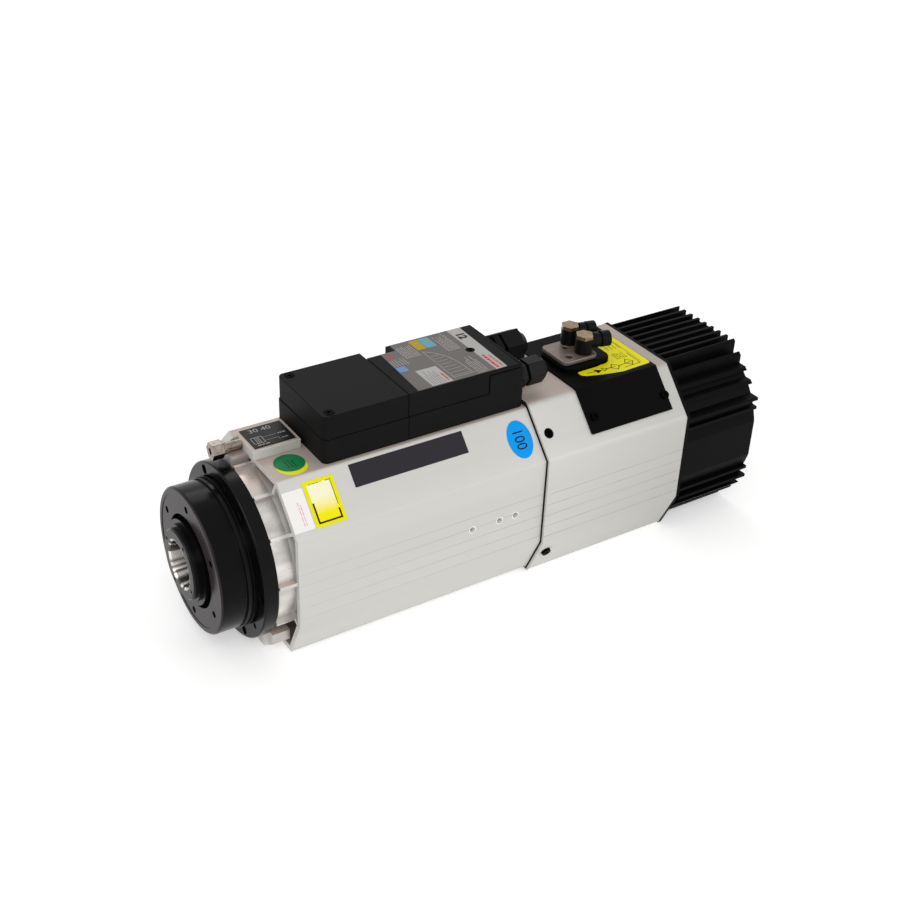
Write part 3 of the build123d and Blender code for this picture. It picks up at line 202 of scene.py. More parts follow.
def lines_and_shade_group():
    """Masks for the body: drawn lines on the upright sides, painted shade on the step behind the joint and
    painted shade that deepens towards the rear.
    """
    tree, given, made = group(
        "body_lines_and_shade",
        [
            ("First Line", "NodeSocketFloat", 0.0108),
            ("Line Pitch", "NodeSocketFloat", 0.00877),
            ("Line Share", "NodeSocketFloat", 0.022),
            ("Line Span", "NodeSocketFloat", 0.037),
            ("Joint Place", "NodeSocketFloat", 0.24),
            ("Joint Width", "NodeSocketFloat", 0.0009),
            ("Side Place", "NodeSocketFloat", 0.0619),
            ("Slope Place", "NodeSocketFloat", 0.07015),
            ("Low Place", "NodeSocketFloat", 0.06856),
        ],
        [("Lines", "NodeSocketFloat"), ("Forward Painted Light", "NodeSocketFloat"), ("Rear", "NodeSocketFloat")],
    )
    place, at = place_in(tree)
    facing = facing_in(tree)
    down = combine(tree, "SUBTRACT", given.outputs["First Line"], at["Z"])
    steps = combine(tree, "DIVIDE", down, given.outputs["Line Pitch"])
    off = combine(tree, "SUBTRACT", steps, combine(tree, "ROUND", steps))
    off = combine(tree, "ABSOLUTE", off)
    thin = combine(tree, "LESS_THAN", off, given.outputs["Line Share"])
    over_first_line, upright_limit, forward_limit = -1.0 * mm, 0.9, -0.7
    above = combine(tree, "GREATER_THAN", down, over_first_line)
    below = combine(tree, "LESS_THAN", down, given.outputs["Line Span"])
    upright = combine(tree, "GREATER_THAN", combine(tree, "ABSOLUTE", facing["Y"]), upright_limit)
    stronger_to_rear = ramp(tree, at["X"], 0.05, 0.22, start=0.35)
    wander = tree.nodes.new("ShaderNodeTexNoise")
    wander.inputs["Scale"].default_value = 55.0
    tree.links.new(place, wander.inputs["Vector"])
    lines = combine(tree, "MULTIPLY", thin, above)
    for part in (below, upright, stronger_to_rear, wander.outputs["Fac"]):
        lines = combine(tree, "MULTIPLY", lines, part)
    tree.links.new(lines, made.inputs["Lines"])
    # Painted light: faces looking forward, behind a place along X and close outside the front body's outline;
    # on the body this is painted shade on the step behind the seam
    forward = combine(tree, "LESS_THAN", facing["X"], forward_limit)
    behind = combine(tree, "GREATER_THAN", at["X"], given.outputs["Joint Place"])
    across = combine(tree, "ABSOLUTE", at["Y"])
    reach = combine(tree, "SUBTRACT", across, given.outputs["Side Place"])
    for out, distance in ((slope_out, "Slope Place"), (low_out, "Low Place")):
        level = combine(tree, "ADD", combine(tree, "MULTIPLY", across, -out.y),
                        combine(tree, "MULTIPLY", at["Z"], out.z))
        level = combine(tree, "SUBTRACT", level, given.outputs[distance])
        reach = combine(tree, "MAXIMUM", reach, level)
    near = combine(tree, "LESS_THAN", reach, given.outputs["Joint Width"])
    forward_painted_light = combine(tree, "MULTIPLY", forward, behind)
    tree.links.new(combine(tree, "MULTIPLY", forward_painted_light, near), made.inputs["Forward Painted Light"])
    # Painted shade: the body grows darker towards its rear
    tree.links.new(ramp(tree, at["X"], 0.25, 0.4), made.inputs["Rear"])
    return tree


def bore_group():
    """Masks for the nose: the tapered bore, painted reflection bands round it and one turned line on the
    face.
    """
    tree, given, made = group(
        "bright_bore",
        [
            ("Bore Radius", "NodeSocketFloat", 0.0172),
            ("Line Radius", "NodeSocketFloat", 0.0193),
            ("Line Width", "NodeSocketFloat", 0.00022),
        ],
        [("Bore", "NodeSocketFloat"), ("Line", "NodeSocketFloat"), ("Reflection Bands", "NodeSocketFloat")],
    )
    place, at = place_in(tree)
    angle = combine(tree, "ARCTAN2", at["Z"], at["Y"])
    reflection_noise = tree.nodes.new("ShaderNodeTexNoise")
    reflection_noise.noise_dimensions = "1D"
    reflection_noise.inputs["Scale"].default_value = 2.6
    reflection_noise.inputs["Detail"].default_value = 1.5
    tree.links.new(angle, reflection_noise.inputs["W"])
    reflection_bands = ramp(tree, reflection_noise.outputs["Fac"], 0.44, 0.56, kind="SMOOTHSTEP")
    tree.links.new(reflection_bands, made.inputs["Reflection Bands"])
    flatten = tree.nodes.new("ShaderNodeVectorMath")
    flatten.operation = "MULTIPLY"
    flatten.inputs[1].default_value = (0, 1, 1)
    length = tree.nodes.new("ShaderNodeVectorMath")
    length.operation = "LENGTH"
    tree.links.new(place, flatten.inputs[0])
    tree.links.new(flatten.outputs[0], length.inputs[0])
    inside = combine(tree, "LESS_THAN", length.outputs["Value"], given.outputs["Bore Radius"])
    tree.links.new(inside, made.inputs["Bore"])
    off = combine(tree, "SUBTRACT", length.outputs["Value"], given.outputs["Line Radius"])
    off = combine(tree, "ABSOLUTE", off)
    line = combine(tree, "LESS_THAN", off, given.outputs["Line Width"])
    tree.links.new(line, made.inputs["Line"])
    return tree


def fade_group():
    """Mask that rises towards the lower end of a film, with a ragged border."""
    tree, given, made = group(
        "ragged_fade",
        [
            ("High Height", "NodeSocketFloat", 0.054),
            ("Low Height", "NodeSocketFloat", 0.046),
            ("Ragged", "NodeSocketFloat", 0.006),
        ],
        [("Mask", "NodeSocketFloat")],
    )
    place, at = place_in(tree)
    noise = tree.nodes.new("ShaderNodeTexNoise")
    noise.inputs["Scale"].default_value = 900.0
    noise.inputs["Detail"].default_value = 4.0
    tree.links.new(place, noise.inputs["Vector"])
    shift = combine(tree, "SUBTRACT", noise.outputs["Fac"], 0.5)
    shift = combine(tree, "MULTIPLY", shift, given.outputs["Ragged"])
    fall = tree.nodes.new("ShaderNodeMapRange")
    tree.links.new(combine(tree, "ADD", at["Z"], shift), fall.inputs["Value"])
    tree.links.new(given.outputs["High Height"], fall.inputs["From Min"])
    tree.links.new(given.outputs["Low Height"], fall.inputs["From Max"])
    tree.links.new(fall.outputs["Result"], made.inputs["Mask"])
    return tree


fine_grain = grain_group()
tone_and_reflection = tone_and_reflection_group()
body_lines_and_shade = lines_and_shade_group()
bright_bore = bore_group()
ragged_fade = fade_group()


def finish_of(name, light, dark, rough, metallic=0.0, grain=1500.0, bump=0.02, stretch=(1, 1, 1),
              tone_scale=18.0, tone_stretch=(1, 1, 1), upward_reflection=None, specular=0.5):
    """Material with wandering tone, grain in its gloss and a fine bump; an upward colour is laid on faces
    that look up as a painted reflection.
    """
    made = bpy.data.materials.new(name)
    made.use_nodes = True
    tree = made.node_tree
    shader = tree.nodes["Principled BSDF"]
    shader.inputs["Metallic"].default_value = metallic
    shader.inputs["Specular IOR Level"].default_value = specular
    tone = tree.nodes.new("ShaderNodeGroup")
    tone.node_tree = tone_and_reflection
    tone.inputs["Light"].default_value = light
    tone.inputs["Dark"].default_value = dark
    tone.inputs["Tone Scale"].default_value = tone_scale
    tone.inputs["Stretch"].default_value = tone_stretch
    if upward_reflection:
        tone.inputs["Upward Reflection"].default_value = upward_reflection
        tone.inputs["Upward Share"].default_value = 1.0
    tree.links.new(tone.outputs["Color"], shader.inputs["Base Color"])
    fine = tree.nodes.new("ShaderNodeGroup")
    fine.node_tree = fine_grain
    fine.inputs["Grain Scale"].default_value = grain
    fine.inputs["Stretch"].default_value = stretch
    fine.inputs["Rough Low"].default_value = rough[0]
    fine.inputs["Rough High"].default_value = rough[1]
    tree.links.new(fine.outputs["Roughness"], shader.inputs["Roughness"])
    raised = tree.nodes.new("ShaderNodeBump")
    raised.inputs["Strength"].default_value = bump
    raised.inputs["Distance"].default_value = 0.2 * mm
    tree.links.new(fine.outputs["Height"], raised.inputs["Height"])
    tree.links.new(raised.outputs["Normal"], shader.inputs["Normal"])
    return made


along_body = (0.02, 1, 1)
along_ring = (1, 0.05, 0.05)

# The upward colours of the satin and the cast aluminium are a painted reflection on faces that look up
satin_aluminium = finish_of(
    "satin_aluminium", colour(203, 202, 198), colour(192, 191, 187), (0.46, 0.6), metallic=0.25,
    grain=900.0, bump=0.08, stretch=along_body, tone_scale=60.0, tone_stretch=(0.05, 1, 1),
    upward_reflection=colour(180, 167, 158), specular=0.3)
cast_aluminium = finish_of(
    "cast_aluminium", colour(250, 249, 246), colour(138, 126, 120), (0.2, 0.42), metallic=0.7,
    grain=1400.0, bump=0.1, tone_scale=85.0, tone_stretch=(0.35, 1, 1), upward_reflection=colour(214, 200, 192))
inner_aluminium = finish_of(
    "inner_aluminium", colour(150, 148, 145), colour(120, 118, 116), (0.4, 0.55), metallic=0.6)
black_oxide = finish_of(
    "black_oxide", colour(12, 12, 14), colour(7, 7, 9), (0.14, 0.24), grain=1800.0, bump=0.015,
    stretch=along_ring, specular=0.07)
black_flange = finish_of(
    "black_flange", colour(12, 12, 14), colour(7, 7, 9), (0.14, 0.24), grain=1800.0, bump=0.015,
    stretch=along_ring, specular=0.1)
black_fins = finish_of(
    "black_fins", colour(11, 11, 11), colour(6, 6, 6), (0.36, 0.5), grain=1200.0, bump=0.06,
    stretch=along_body, specular=0.035)
black_sheet = finish_of(
    "black_sheet", colour(9, 9, 9), colour(6, 6, 6), (0.34, 0.46), grain=1600.0, bump=0.04,
    specular=0.025)
box_plastic = finish_of(
    "box_plastic", colour(21, 20, 20), colour(15, 14, 14), (0.46, 0.6), grain=2600.0, bump=0.12,
    specular=0.05)
gland_plastic = finish_of(
    "gland_plastic", colour(13, 13, 14), colour(8, 8, 9), (0.3, 0.44), grain=2200.0, bump=0.08,
    specular=0.09)
ground_steel = finish_of(
    "ground_steel", colour(214, 210, 208), colour(188, 184, 184), (0.12, 0.24), metallic=1.0,
    grain=1600.0, bump=0.05, stretch=along_ring)
nose_steel = finish_of(
    "nose_steel", colour(26, 24, 25), colour(17, 16, 17), (0.18, 0.3), grain=1600.0, bump=0.02,
    stretch=along_ring, specular=0.12)
spring_metal = finish_of(
    "spring_metal", colour(150, 150, 154), colour(120, 120, 126), (0.28, 0.4), metallic=1.0)
core_iron = finish_of(
    "core_iron", colour(110, 108, 108), colour(84, 82, 82), (0.5, 0.65), metallic=0.7, grain=900.0,
    bump=0.15, stretch=(40, 0.05, 0.05))
wound_copper = finish_of(
    "wound_copper", colour(150, 82, 46), colour(110, 54, 30), (0.3, 0.45), metallic=0.4, grain=700.0,
    bump=0.3)
brass_nickel = finish_of(
    "brass_nickel", colour(170, 148, 120), colour(92, 76, 60), (0.2, 0.4), metallic=0.95,
    grain=900.0, bump=0.03, tone_scale=240.0)
nickel = finish_of(
    "nickel", colour(176, 164, 152), colour(66, 56, 50), (0.16, 0.36), metallic=1.0, grain=900.0,
    bump=0.04, tone_scale=330.0)
plate_grey = finish_of(
    "plate_grey", colour(138, 124, 116), colour(100, 88, 82), (0.3, 0.44), metallic=0.5, bump=0.05,
    tone_scale=120.0)
terminal_grey = finish_of(
    "terminal_grey", colour(196, 196, 192), colour(170, 170, 168), (0.45, 0.6))
soft_rubber = finish_of(
    "soft_rubber", colour(12, 12, 12), colour(8, 8, 8), (0.6, 0.75), bump=0.1, specular=0.05)
screw_black = finish_of(
    "screw_black", colour(3, 3, 3), colour(1, 1, 1), (0.34, 0.5), specular=0.02)


def cover_with(material, mask, shade):
    """Lay a second colour over what the material shows, by a mask."""
    tree = material.node_tree
    shader = tree.nodes["Principled BSDF"]
    mix = tree.nodes.new("ShaderNodeMix")
    mix.data_type = "RGBA"
    mix.inputs["B"].default_value = shade
    tree.links.new(mask, mix.inputs["Factor"])
    tree.links.new(shader.inputs["Base Color"].links[0].from_socket, mix.inputs["A"])
    tree.links.new(mix.outputs["Result"], shader.inputs["Base Color"])


def group_in(material, tree):
    """A shader group placed in a material."""
    node = material.node_tree.nodes.new("ShaderNodeGroup")
    node.node_tree = tree
    return node


body_masks = group_in(satin_aluminium, body_lines_and_shade)
body_masks.inputs["Joint Place"].default_value = (seam_x - 1.0) * mm
body_tree = satin_aluminium.node_tree
# Painted shade: half of a duller grey laid over the rear of the body
cover_with(satin_aluminium, combine(body_tree, "MULTIPLY", body_masks.outputs["Rear"], 0.5), colour(150, 148, 143))
cover_with(satin_aluminium, body_masks.outputs["Lines"], colour(118, 114, 111))
# Painted shade: the step just behind the seam is darkened as if in shadow
cover_with(satin_aluminium, body_masks.outputs["Forward Painted Light"], colour(40, 38, 37))

# Painted reflection: faces of the front cover that look forward take a brownish grey, as if mirroring bright
# surroundings
front_face_reflection = group_in(black_oxide, body_lines_and_shade)
front_face_reflection.inputs["Joint Place"].default_value = -1.0
front_face_reflection.inputs["Joint Width"].default_value = 1.0
cover_with(black_oxide, combine(black_oxide.node_tree, "MULTIPLY", front_face_reflection.outputs["Forward Painted Light"], 0.8),
           colour(50, 43, 46))

nose = group_in(nose_steel, bright_bore)
nose_tree = nose_steel.node_tree
cover_with(nose_steel, nose.outputs["Line"], colour(4, 4, 4))
cover_with(nose_steel, nose.outputs["Bore"], colour(226, 222, 219))
# Painted reflection: dark bands round the bright bore stand in for what its polished taper mirrors
bore_reflection = combine(nose_tree, "MULTIPLY", nose.outputs["Bore"], nose.outputs["Reflection Bands"])
cover_with(nose_steel, combine(nose_tree, "MULTIPLY", bore_reflection, 0.9), colour(44, 40, 38))
nose_tree.links.new(nose.outputs["Bore"], nose_tree.nodes["Principled BSDF"].inputs["Metallic"])


def ink(name, shade):
    """Printed film: one colour with a faint change of tone and a smooth surface."""
    darker = (*(0.94 * value for value in shade[:3]), 1.0)
    return finish_of(
        name, shade, darker, (0.34, 0.42), grain=500.0, bump=0.01, tone_scale=30.0, specular=0.1)


white_film = ink("white_film", colour(240, 238, 235))
yellow_film = ink("yellow_film", colour(234, 226, 4))
green_film = ink("green_film", colour(0, 118, 66))
blue_film = ink("blue_film", colour(0, 152, 236))
dark_film = ink("dark_film", colour(44, 42, 48))
plate_film = ink("plate_film", colour(20, 18, 18))
grey_film = ink("grey_film", colour(104, 101, 99))
pale_film = ink("pale_film", colour(176, 174, 171))
black_print = ink("black_print", colour(14, 13, 13))
pale_print = ink("pale_print", colour(172, 168, 164))
red_print = ink("red_print", colour(196, 40, 44))
pink_print = ink("pink_print", colour(222, 120, 120))
sky_print = ink("sky_print", colour(100, 160, 172))
gold_print = ink("gold_print", colour(176, 148, 8))
soft_blue_print = ink("soft_blue_print", colour(104, 142, 198))
faded_film = ink("faded_film", colour(246, 243, 208))
ragged = group_in(faded_film, ragged_fade)
cover_with(faded_film, ragged.outputs["Mask"], colour(240, 228, 8))

finishes = {
    satin_aluminium: ("front_body", "rear_body", "name_pad"),
    cast_aluminium: ("front_housing",),
    inner_aluminium: ("rear_bearing_housing", "release_cylinder", "cylinder_cap"),
    black_oxide: ("front_cover",),
    black_flange: ("front_flange", "labyrinth_ring"),
    black_fins: ("rear_cover", "rear_plate", "fan_guard"),
    black_sheet: ("air_cover",),
    box_plastic: ("box_base", "box_front_lid", "box_rear_lid", "fan_frame", "fan_rotor", "sensors"),
    gland_plastic: (
        "gland_body_near", "gland_nut_near", "gland_body_far", "gland_nut_far", "elbow_near",
        "elbow_far", "release_collar_near", "release_collar_far",
    ),
    ground_steel: (
        "bearing_outer_rings", "bearing_inner_rings", "front_ball_set", "rear_ball_set",
        "bearing_locknuts", "sensor_ring", "piston", "drawbar", "petal_1", "petal_2", "petal_3",
        "petal_4",
    ),
    nose_steel: ("shaft",),
    spring_metal: ("disc_springs", "return_springs"),
    core_iron: ("stator_core", "rotor_core"),
    wound_copper: ("windings",),
    brass_nickel: ("banjo_bolts", "port_plug"),
    nickel: ("air_fitting_body", "air_fitting_nut"),
    plate_grey: ("port_plate",),
    terminal_grey: ("terminal_block",),
    soft_rubber: ("seam_gasket", "gland_seals"),
    plate_film: ("name_plate",),
    screw_black: ("lid_screws", "air_cover_screws", "body_screws", "flange_screws", "cover_screws"),
}
finish_by_node = {name: material for material, names in finishes.items() for name in names}
for name, material in finish_by_node.items():
    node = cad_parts[name]
    node.data.materials.clear()
    node.data.materials.append(material)


# Pieces with eased edges

sharp_edge = radians(28.0)
flat_edge = radians(0.5)
same_point = 0.003 * mm
same_edge = 0.6
along_limit = 0.99


def plain_piece(rough, name):
    """Plain mesh object of a working object with its modifiers applied; the working one goes."""
    bpy.context.view_layer.update()
    seen = rough.evaluated_get(bpy.context.evaluated_depsgraph_get())
    mesh = bpy.data.meshes.new_from_object(seen)
    mesh.name = name
    mesh.transform(rough.matrix_world)
    bpy.data.objects.remove(rough)
    piece = in_scene(name, mesh)
    return piece


def eased(name, width, segments=2, wide_places=(), wide_width=0.0):
    """Copy of a solid with its outer edges eased, in place of the solid."""
    built = bmesh.new()
    built.from_mesh(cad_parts[name].data)
    bmesh.ops.remove_doubles(built, verts=built.verts, dist=same_point)
    bmesh.ops.dissolve_limit(built, angle_limit=flat_edge, use_dissolve_boundaries=False,
                             verts=built.verts, edges=built.edges)
    weight = built.edges.layers.float.new("bevel_weight_edge")
    widest = max(width, wide_width)
    for edge in built.edges:
        if len(edge.link_faces) != 2 or edge.calc_face_angle_signed() < sharp_edge:
            continue
        middle_point = (edge.verts[0].co + edge.verts[1].co) / 2
        along_x = abs((edge.verts[0].co - edge.verts[1].co).normalized().x) > along_limit
        wide = along_x and any(
            abs(abs(middle_point.y) / mm - y) < same_edge and abs(middle_point.z / mm - z) < same_edge
            for y, z in wide_places)
        edge[weight] = (wide_width if wide else width) / widest
    for face in built.faces:
        face.smooth = True
    for edge in built.edges:
        edge.smooth = len(edge.link_faces) == 2 and edge.calc_face_angle() < sharp_edge
    mesh = bpy.data.meshes.new(f"{name}_eased")
    built.to_mesh(mesh)
    built.free()
    mesh.materials.append(finish_by_node[name])
    rough = in_scene(f"{name}_rough", mesh)
    bevel = rough.modifiers.new("eased", "BEVEL")
    bevel.limit_method = "WEIGHT"
    bevel.width = widest * mm
    bevel.segments = segments
    bevel.use_clamp_overlap = False
    bevel.harden_normals = True
    piece = plain_piece(rough, f"{name}_eased")
    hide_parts(name)
    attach(piece, "body")
    return piece


eased("front_cover", 0.35)
eased("front_flange", 0.3)
eased("box_base", 0.5)
eased("box_front_lid", 0.6)
eased("box_rear_lid", 0.6)
eased("name_pad", 0.4)
eased("port_plate", 0.7, segments=3)
eased("banjo_bolts", 0.35)
for side in ("near", "far"):
    eased(f"gland_nut_{side}", 0.5)
    eased(f"gland_body_{side}", 0.4)
eased("air_fitting_nut", 0.4)

# Long edges of the body skins, as their distance from the middle plane and their height
front_long_edges = ((61.9, 36.6), (61.9, -29.5), (47.8, -60.5))
rear_long_edges = ((64.6, 37.9), (64.6, -30.0), (49.5, -63.2), (35.7, 68.2))
skin_edge = 0.15
long_edge = 3.2
eased("front_body", skin_edge, segments=4, wide_places=front_long_edges,
      wide_width=long_edge)
eased("rear_body", skin_edge, segments=4, wide_places=rear_long_edges,
      wide_width=long_edge)


# Printed films laid on the surfaces

class Face:
    """Flat place on the body: a point, a direction for its width and one for its height."""

    def __init__(self, origin, across, up):
        self.origin = Vector(origin)
        self.across = Vector(across).normalized()
        self.up = Vector(up).normalized()
        self.out = self.across.cross(self.up)

    def at(self, u, v, height):
        """Scene point at a width, a height along the face and a height over it."""
        return (self.origin + self.across * u + self.up * v + self.out * height) * mm


def level_face(z):
    """Face that looks up, at a height in millimetres."""
    return Face((0, 0, z), (1, 0, 0), (0, 1, 0))


air_sheet = 1.3
slope = Face((0, -slope_top_y, top_z), (1, 0, 0), -slope_down)
top = level_face(top_z)
lid_top = level_face(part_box("box_rear_lid")[1].z / mm)
air_top = level_face(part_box("rear_body")[1].z / mm + air_sheet)
pad_top = level_face(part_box("name_plate")[1].z / mm)


def films(name, face, layers):
    """One mesh of thin films: layers are (material, outlines, base height, thickness)."""
    mesh = bpy.data.meshes.new(name)
    built = bmesh.new()
    materials = []
    for material, outlines, base, thick in layers:
        if material not in materials:
            materials.append(material)
        points = [[Vector((u, v, 0)) for u, v in outline] for outline in outlines]
        flat = [point for loop in points for point in loop]
        low = [built.verts.new(face.at(p.x, p.y, base)) for p in flat]
        high = [built.verts.new(face.at(p.x, p.y, base + thick)) for p in flat]
        faces = []
        for corners in tessellate_polygon(points):
            faces.append(built.faces.new([high[k] for k in corners]))
            faces.append(built.faces.new([low[k] for k in reversed(corners)]))
        start = 0
        for loop in points:
            ends = [start + k for k in range(len(loop))]
            for a, b in zip(ends, ends[1:] + ends[:1]):
                faces.append(built.faces.new((low[a], low[b], high[b], high[a])))
            start += len(loop)
        for made in faces:
            made.material_index = materials.index(material)
    bmesh.ops.recalc_face_normals(built, faces=built.faces)
    built.to_mesh(mesh)
    built.free()
    for material in materials:
        mesh.materials.append(material)
    piece = in_scene(name, mesh)
    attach(piece, "body")
    return piece


def rounded(u0, v0, u1, v1, radius, steps=4):
    """Rectangle outline with round corners."""
    outline = []
    for cu, cv, start in (
        (u1 - radius, v1 - radius, 0), (u0 + radius, v1 - radius, 90),
        (u0 + radius, v0 + radius, 180), (u1 - radius, v0 + radius, 270),
    ):
        for k in range(steps + 1):
            a = radians(start + 90 * k / steps)
            outline.append((cu + radius * cos(a), cv + radius * sin(a)))
    return outline


def oval(u, v, half_u, half_v, steps=56):
    """Ellipse outline."""
    angles = [2 * pi * k / steps for k in range(steps)]
    return [(u + half_u * cos(a), v + half_v * sin(a)) for a in angles]


def ring(u, v, outer, inner, steps=40):
    """Outlines of a flat ring."""
    return [oval(u, v, outer, outer, steps), oval(u, v, inner, inner, steps)]


def bar(u0, v0, u1, v1):
    """Rectangle outline."""
    return [(u0, v0), (u1, v0), (u1, v1), (u0, v1)]


def stroke(points, width):
    """Bars that follow a line of points, one outline for each leg."""
    legs = []
    for (u0, v0), (u1, v1) in zip(points, points[1:]):
        along = Vector((u1 - u0, v1 - v0)).normalized() * width / 2
        side = Vector((-along.y, along.x))
        a, b = Vector((u0, v0)) - along, Vector((u1, v1)) + along
        legs.append([tuple(a - side), tuple(b - side), tuple(b + side), tuple(a + side)])
    return legs


def closed(points):
    """Points of a line that ends where it starts."""
    return points + points[:1]


# Films stand a little over their face, and print lies on the films
lift = 0.03
film_thickness = 0.12
print_thickness = 0.05
print_base = lift + film_thickness


def printed(material, outlines, level=0):
    """Layers of print on a film, one for each outline."""
    base = print_base + level * print_thickness
    return [(material, [outline], base, print_thickness) for outline in outlines]


def drawn(material, points, width, level=0):
    """Layers of a printed line through points."""
    return printed(material, stroke(points, width), level)


# Small print: how much of a row is filled, and the lengths of its dashes and gaps
row_fill = (0.6, 1.0)
dash_lengths = (0.8, 3.2)
dash_gaps = (0.4, 0.8)
shortest_dash = 0.3


def text_rows(u0, v0, u1, v1, rows, seed, height=0.5, across=False):
    """Rows of short dashes in place of small print; across turns the rows along v."""
    chance = random.Random(seed)
    dashes = []
    first, last = (v0, v1) if across else (u0, u1)
    low, high = (u0, u1) if across else (v0, v1)
    for k in range(rows):
        level = low + (high - low) * (k + 0.5) / rows
        place = first
        finish = first + (last - first) * chance.uniform(*row_fill)
        while place < finish:
            reach = min(place + chance.uniform(*dash_lengths), finish)
            if reach - place > shortest_dash:
                dash = (place, level - height / 2, reach, level + height / 2)
                if across:
                    dash = (dash[1], dash[0], dash[3], dash[2])
                dashes.append(bar(*dash))
            place = reach + chance.uniform(*dash_gaps)
    return dashes


same_outline_point = 0.001 * mm


def figures(name, number, face, u, v, height, turn, material, stretch=1.0, bold=0.0):
    """Plain number lying on a face, turned about its middle."""
    data = bpy.data.curves.new(f"{name}_line", "FONT")
    data.body = number
    data.align_x = "CENTER"
    data.align_y = "CENTER"
    data.size = height * mm
    data.extrude = print_thickness / 2 * mm
    data.offset = bold * mm
    data.resolution_u = 3
    data.materials.append(material)
    rough = in_scene(f"{name}_line", data)
    face_turn = Matrix((face.across, face.up, face.out)).transposed().to_4x4()
    place = Matrix.Translation(face.at(u, v, print_base + print_thickness / 2))
    turned = Matrix.Rotation(turn, 4, "Z") @ Matrix.Diagonal((stretch, 1, 1, 1))
    rough.matrix_world = place @ face_turn @ turned
    piece = plain_piece(rough, name)
    merged = bmesh.new()
    merged.from_mesh(piece.data)
    bmesh.ops.remove_doubles(merged, verts=merged.verts, dist=same_outline_point)
    bmesh.ops.recalc_face_normals(merged, faces=merged.faces)
    merged.to_mesh(piece.data)
    merged.free()
    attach(piece, "body")
    return piece


# Bare dark plate along the slope
films("type_plate", slope, [
    (dark_film, [rounded(102.7, -17.9, 187.5, -2.6, 0.5)], lift, film_thickness)])

# Blue oval film near the seam, with a plain number that reads down the slope
films("blue_oval", slope, [(blue_film, [oval(227.6, -19.7, 9.4, 13.4)], lift, film_thickness)])
figures("blue_oval_number", "100", slope, 227.0, -19.6, height=11.5, turn=radians(-90),
        material=black_print, stretch=0.86)

# White film and yellow-bordered film on the front of the slope
films("white_label", slope, [
    (white_film, [rounded(54.2, -34.5, 68.2, -8.0, 0.8)], lift, film_thickness),
    *printed(pink_print, text_rows(61.4, -31.5, 64.4, -12.0, rows=2, seed=5, height=0.35, across=True)),
])
films("bordered_label", slope, [
    (yellow_film, [rounded(69.1, -35.2, 90.5, -5.0, 1.4)], lift, film_thickness),
    (faded_film, [bar(71.5, -32.8, 87.9, -7.4)], print_base, print_thickness),
    *drawn(black_print, [(71.9, -20.0), (71.9, -32.4), (87.5, -32.4), (87.5, -27.0)], 1.1, level=1),
    *drawn(black_print, [(87.7, -24.0), (87.7, -7.6), (84.5, -7.6)], 0.4, level=1),
    *printed(black_print, text_rows(72.5, -7.8, 84.0, -7.4, rows=1, seed=9, height=0.3), level=1),
])

# Round films on the top face, the green one over the yellow one
on_green = film_thickness / print_thickness
films("round_labels", top, [
    (yellow_film, [oval(70.2, -23.4, 10.0, 10.0)], lift, film_thickness),
    (green_film, [oval(70.6, -19.3, 10.1, 10.1)], lift + film_thickness, film_thickness),
    *printed(black_print, text_rows(67.0, -24.5, 74.0, -14.0, rows=3, seed=12, height=0.7, across=True),
             level=on_green),
])

# Yellow film on the air cover, with a plain diagram of lines
air_label = [
    (297.0, -18.4), (296.0, -20.2), (296.3, -23.3), (299.3, -25.8), (312.2, -29.6), (326.2, -32.6),
    (350.5, -31.6), (351.8, -30.3), (352.2, -28.1), (352.2, 13.9), (331.0, 13.9), (330.4, -2.0),
    (329.8, -6.5), (326.5, -12.5), (321.0, -16.4), (314.0, -18.2),
]
air_line = 0.6
films("air_label", air_top, [
    (yellow_film, [air_label], lift, film_thickness),
    *drawn(black_print, [(302.0, -22.8), (310.0, -23.6)], air_line),
    *printed(black_print, [[(308.4, -20.8), (313.8, -24.2), (308.6, -26.6)]]),
    *drawn(black_print, closed([(314.5, -22.0), (318.5, -24.0), (315.0, -26.0)]), air_line),
    *drawn(black_print, [(318.5, -24.0), (325.0, -24.4)], air_line),
    *drawn(black_print, closed([(325.0, -20.5), (329.0, -24.5), (325.0, -28.5), (321.5, -24.4)]), air_line),
    *drawn(black_print, [(329.0, -24.5), (340.0, -24.0)], air_line),
    *drawn(black_print, closed([(338.0, -19.0), (342.0, -23.5), (338.5, -27.5), (334.8, -23.8)]), air_line),
    *drawn(black_print, [(331.0, -28.5), (345.0, -28.0), (345.5, -12.0)], 0.5),
    *printed(black_print, text_rows(333.0, -17.0, 343.0, -5.0, rows=5, seed=21, height=0.55, across=True)),
    *printed(black_print, text_rows(335.0, -3.0, 348.0, 11.0, rows=4, seed=22, height=0.5, across=True)),
    *drawn(black_print, [(346.8, -27.0), (347.6, 12.0)], 0.3),
])

# Grey label on the rear lid, open round the rear lid screw, with generic blocks and lines
rear_lid_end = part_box("box_base")[1].x / mm
lid_screw_x = rear_lid_end - 23.7
strip_x = 217.4
chart_lines = [[(188.5, -25.0 + 4.2 * k), (200.6 - 0.9 * k, -25.0 + 4.2 * k)] for k in range(8)]
chart_curve = [(188.0, 12.0), (193.0, 8.0), (198.0, 0.0), (200.5, -10.0), (201.5, -26.0)]
chart_axis_width, chart_curve_width, chart_line_width = 0.35, 0.4, 0.3


def clearance(first, last, radius=3.3, steps=10):
    """Points of an arc round the rear lid screw, between two angles in degrees."""
    spread = [radians(first + (last - first) * k / steps) for k in range(steps + 1)]
    return [(lid_screw_x + radius * cos(a), radius * sin(a)) for a in spread]


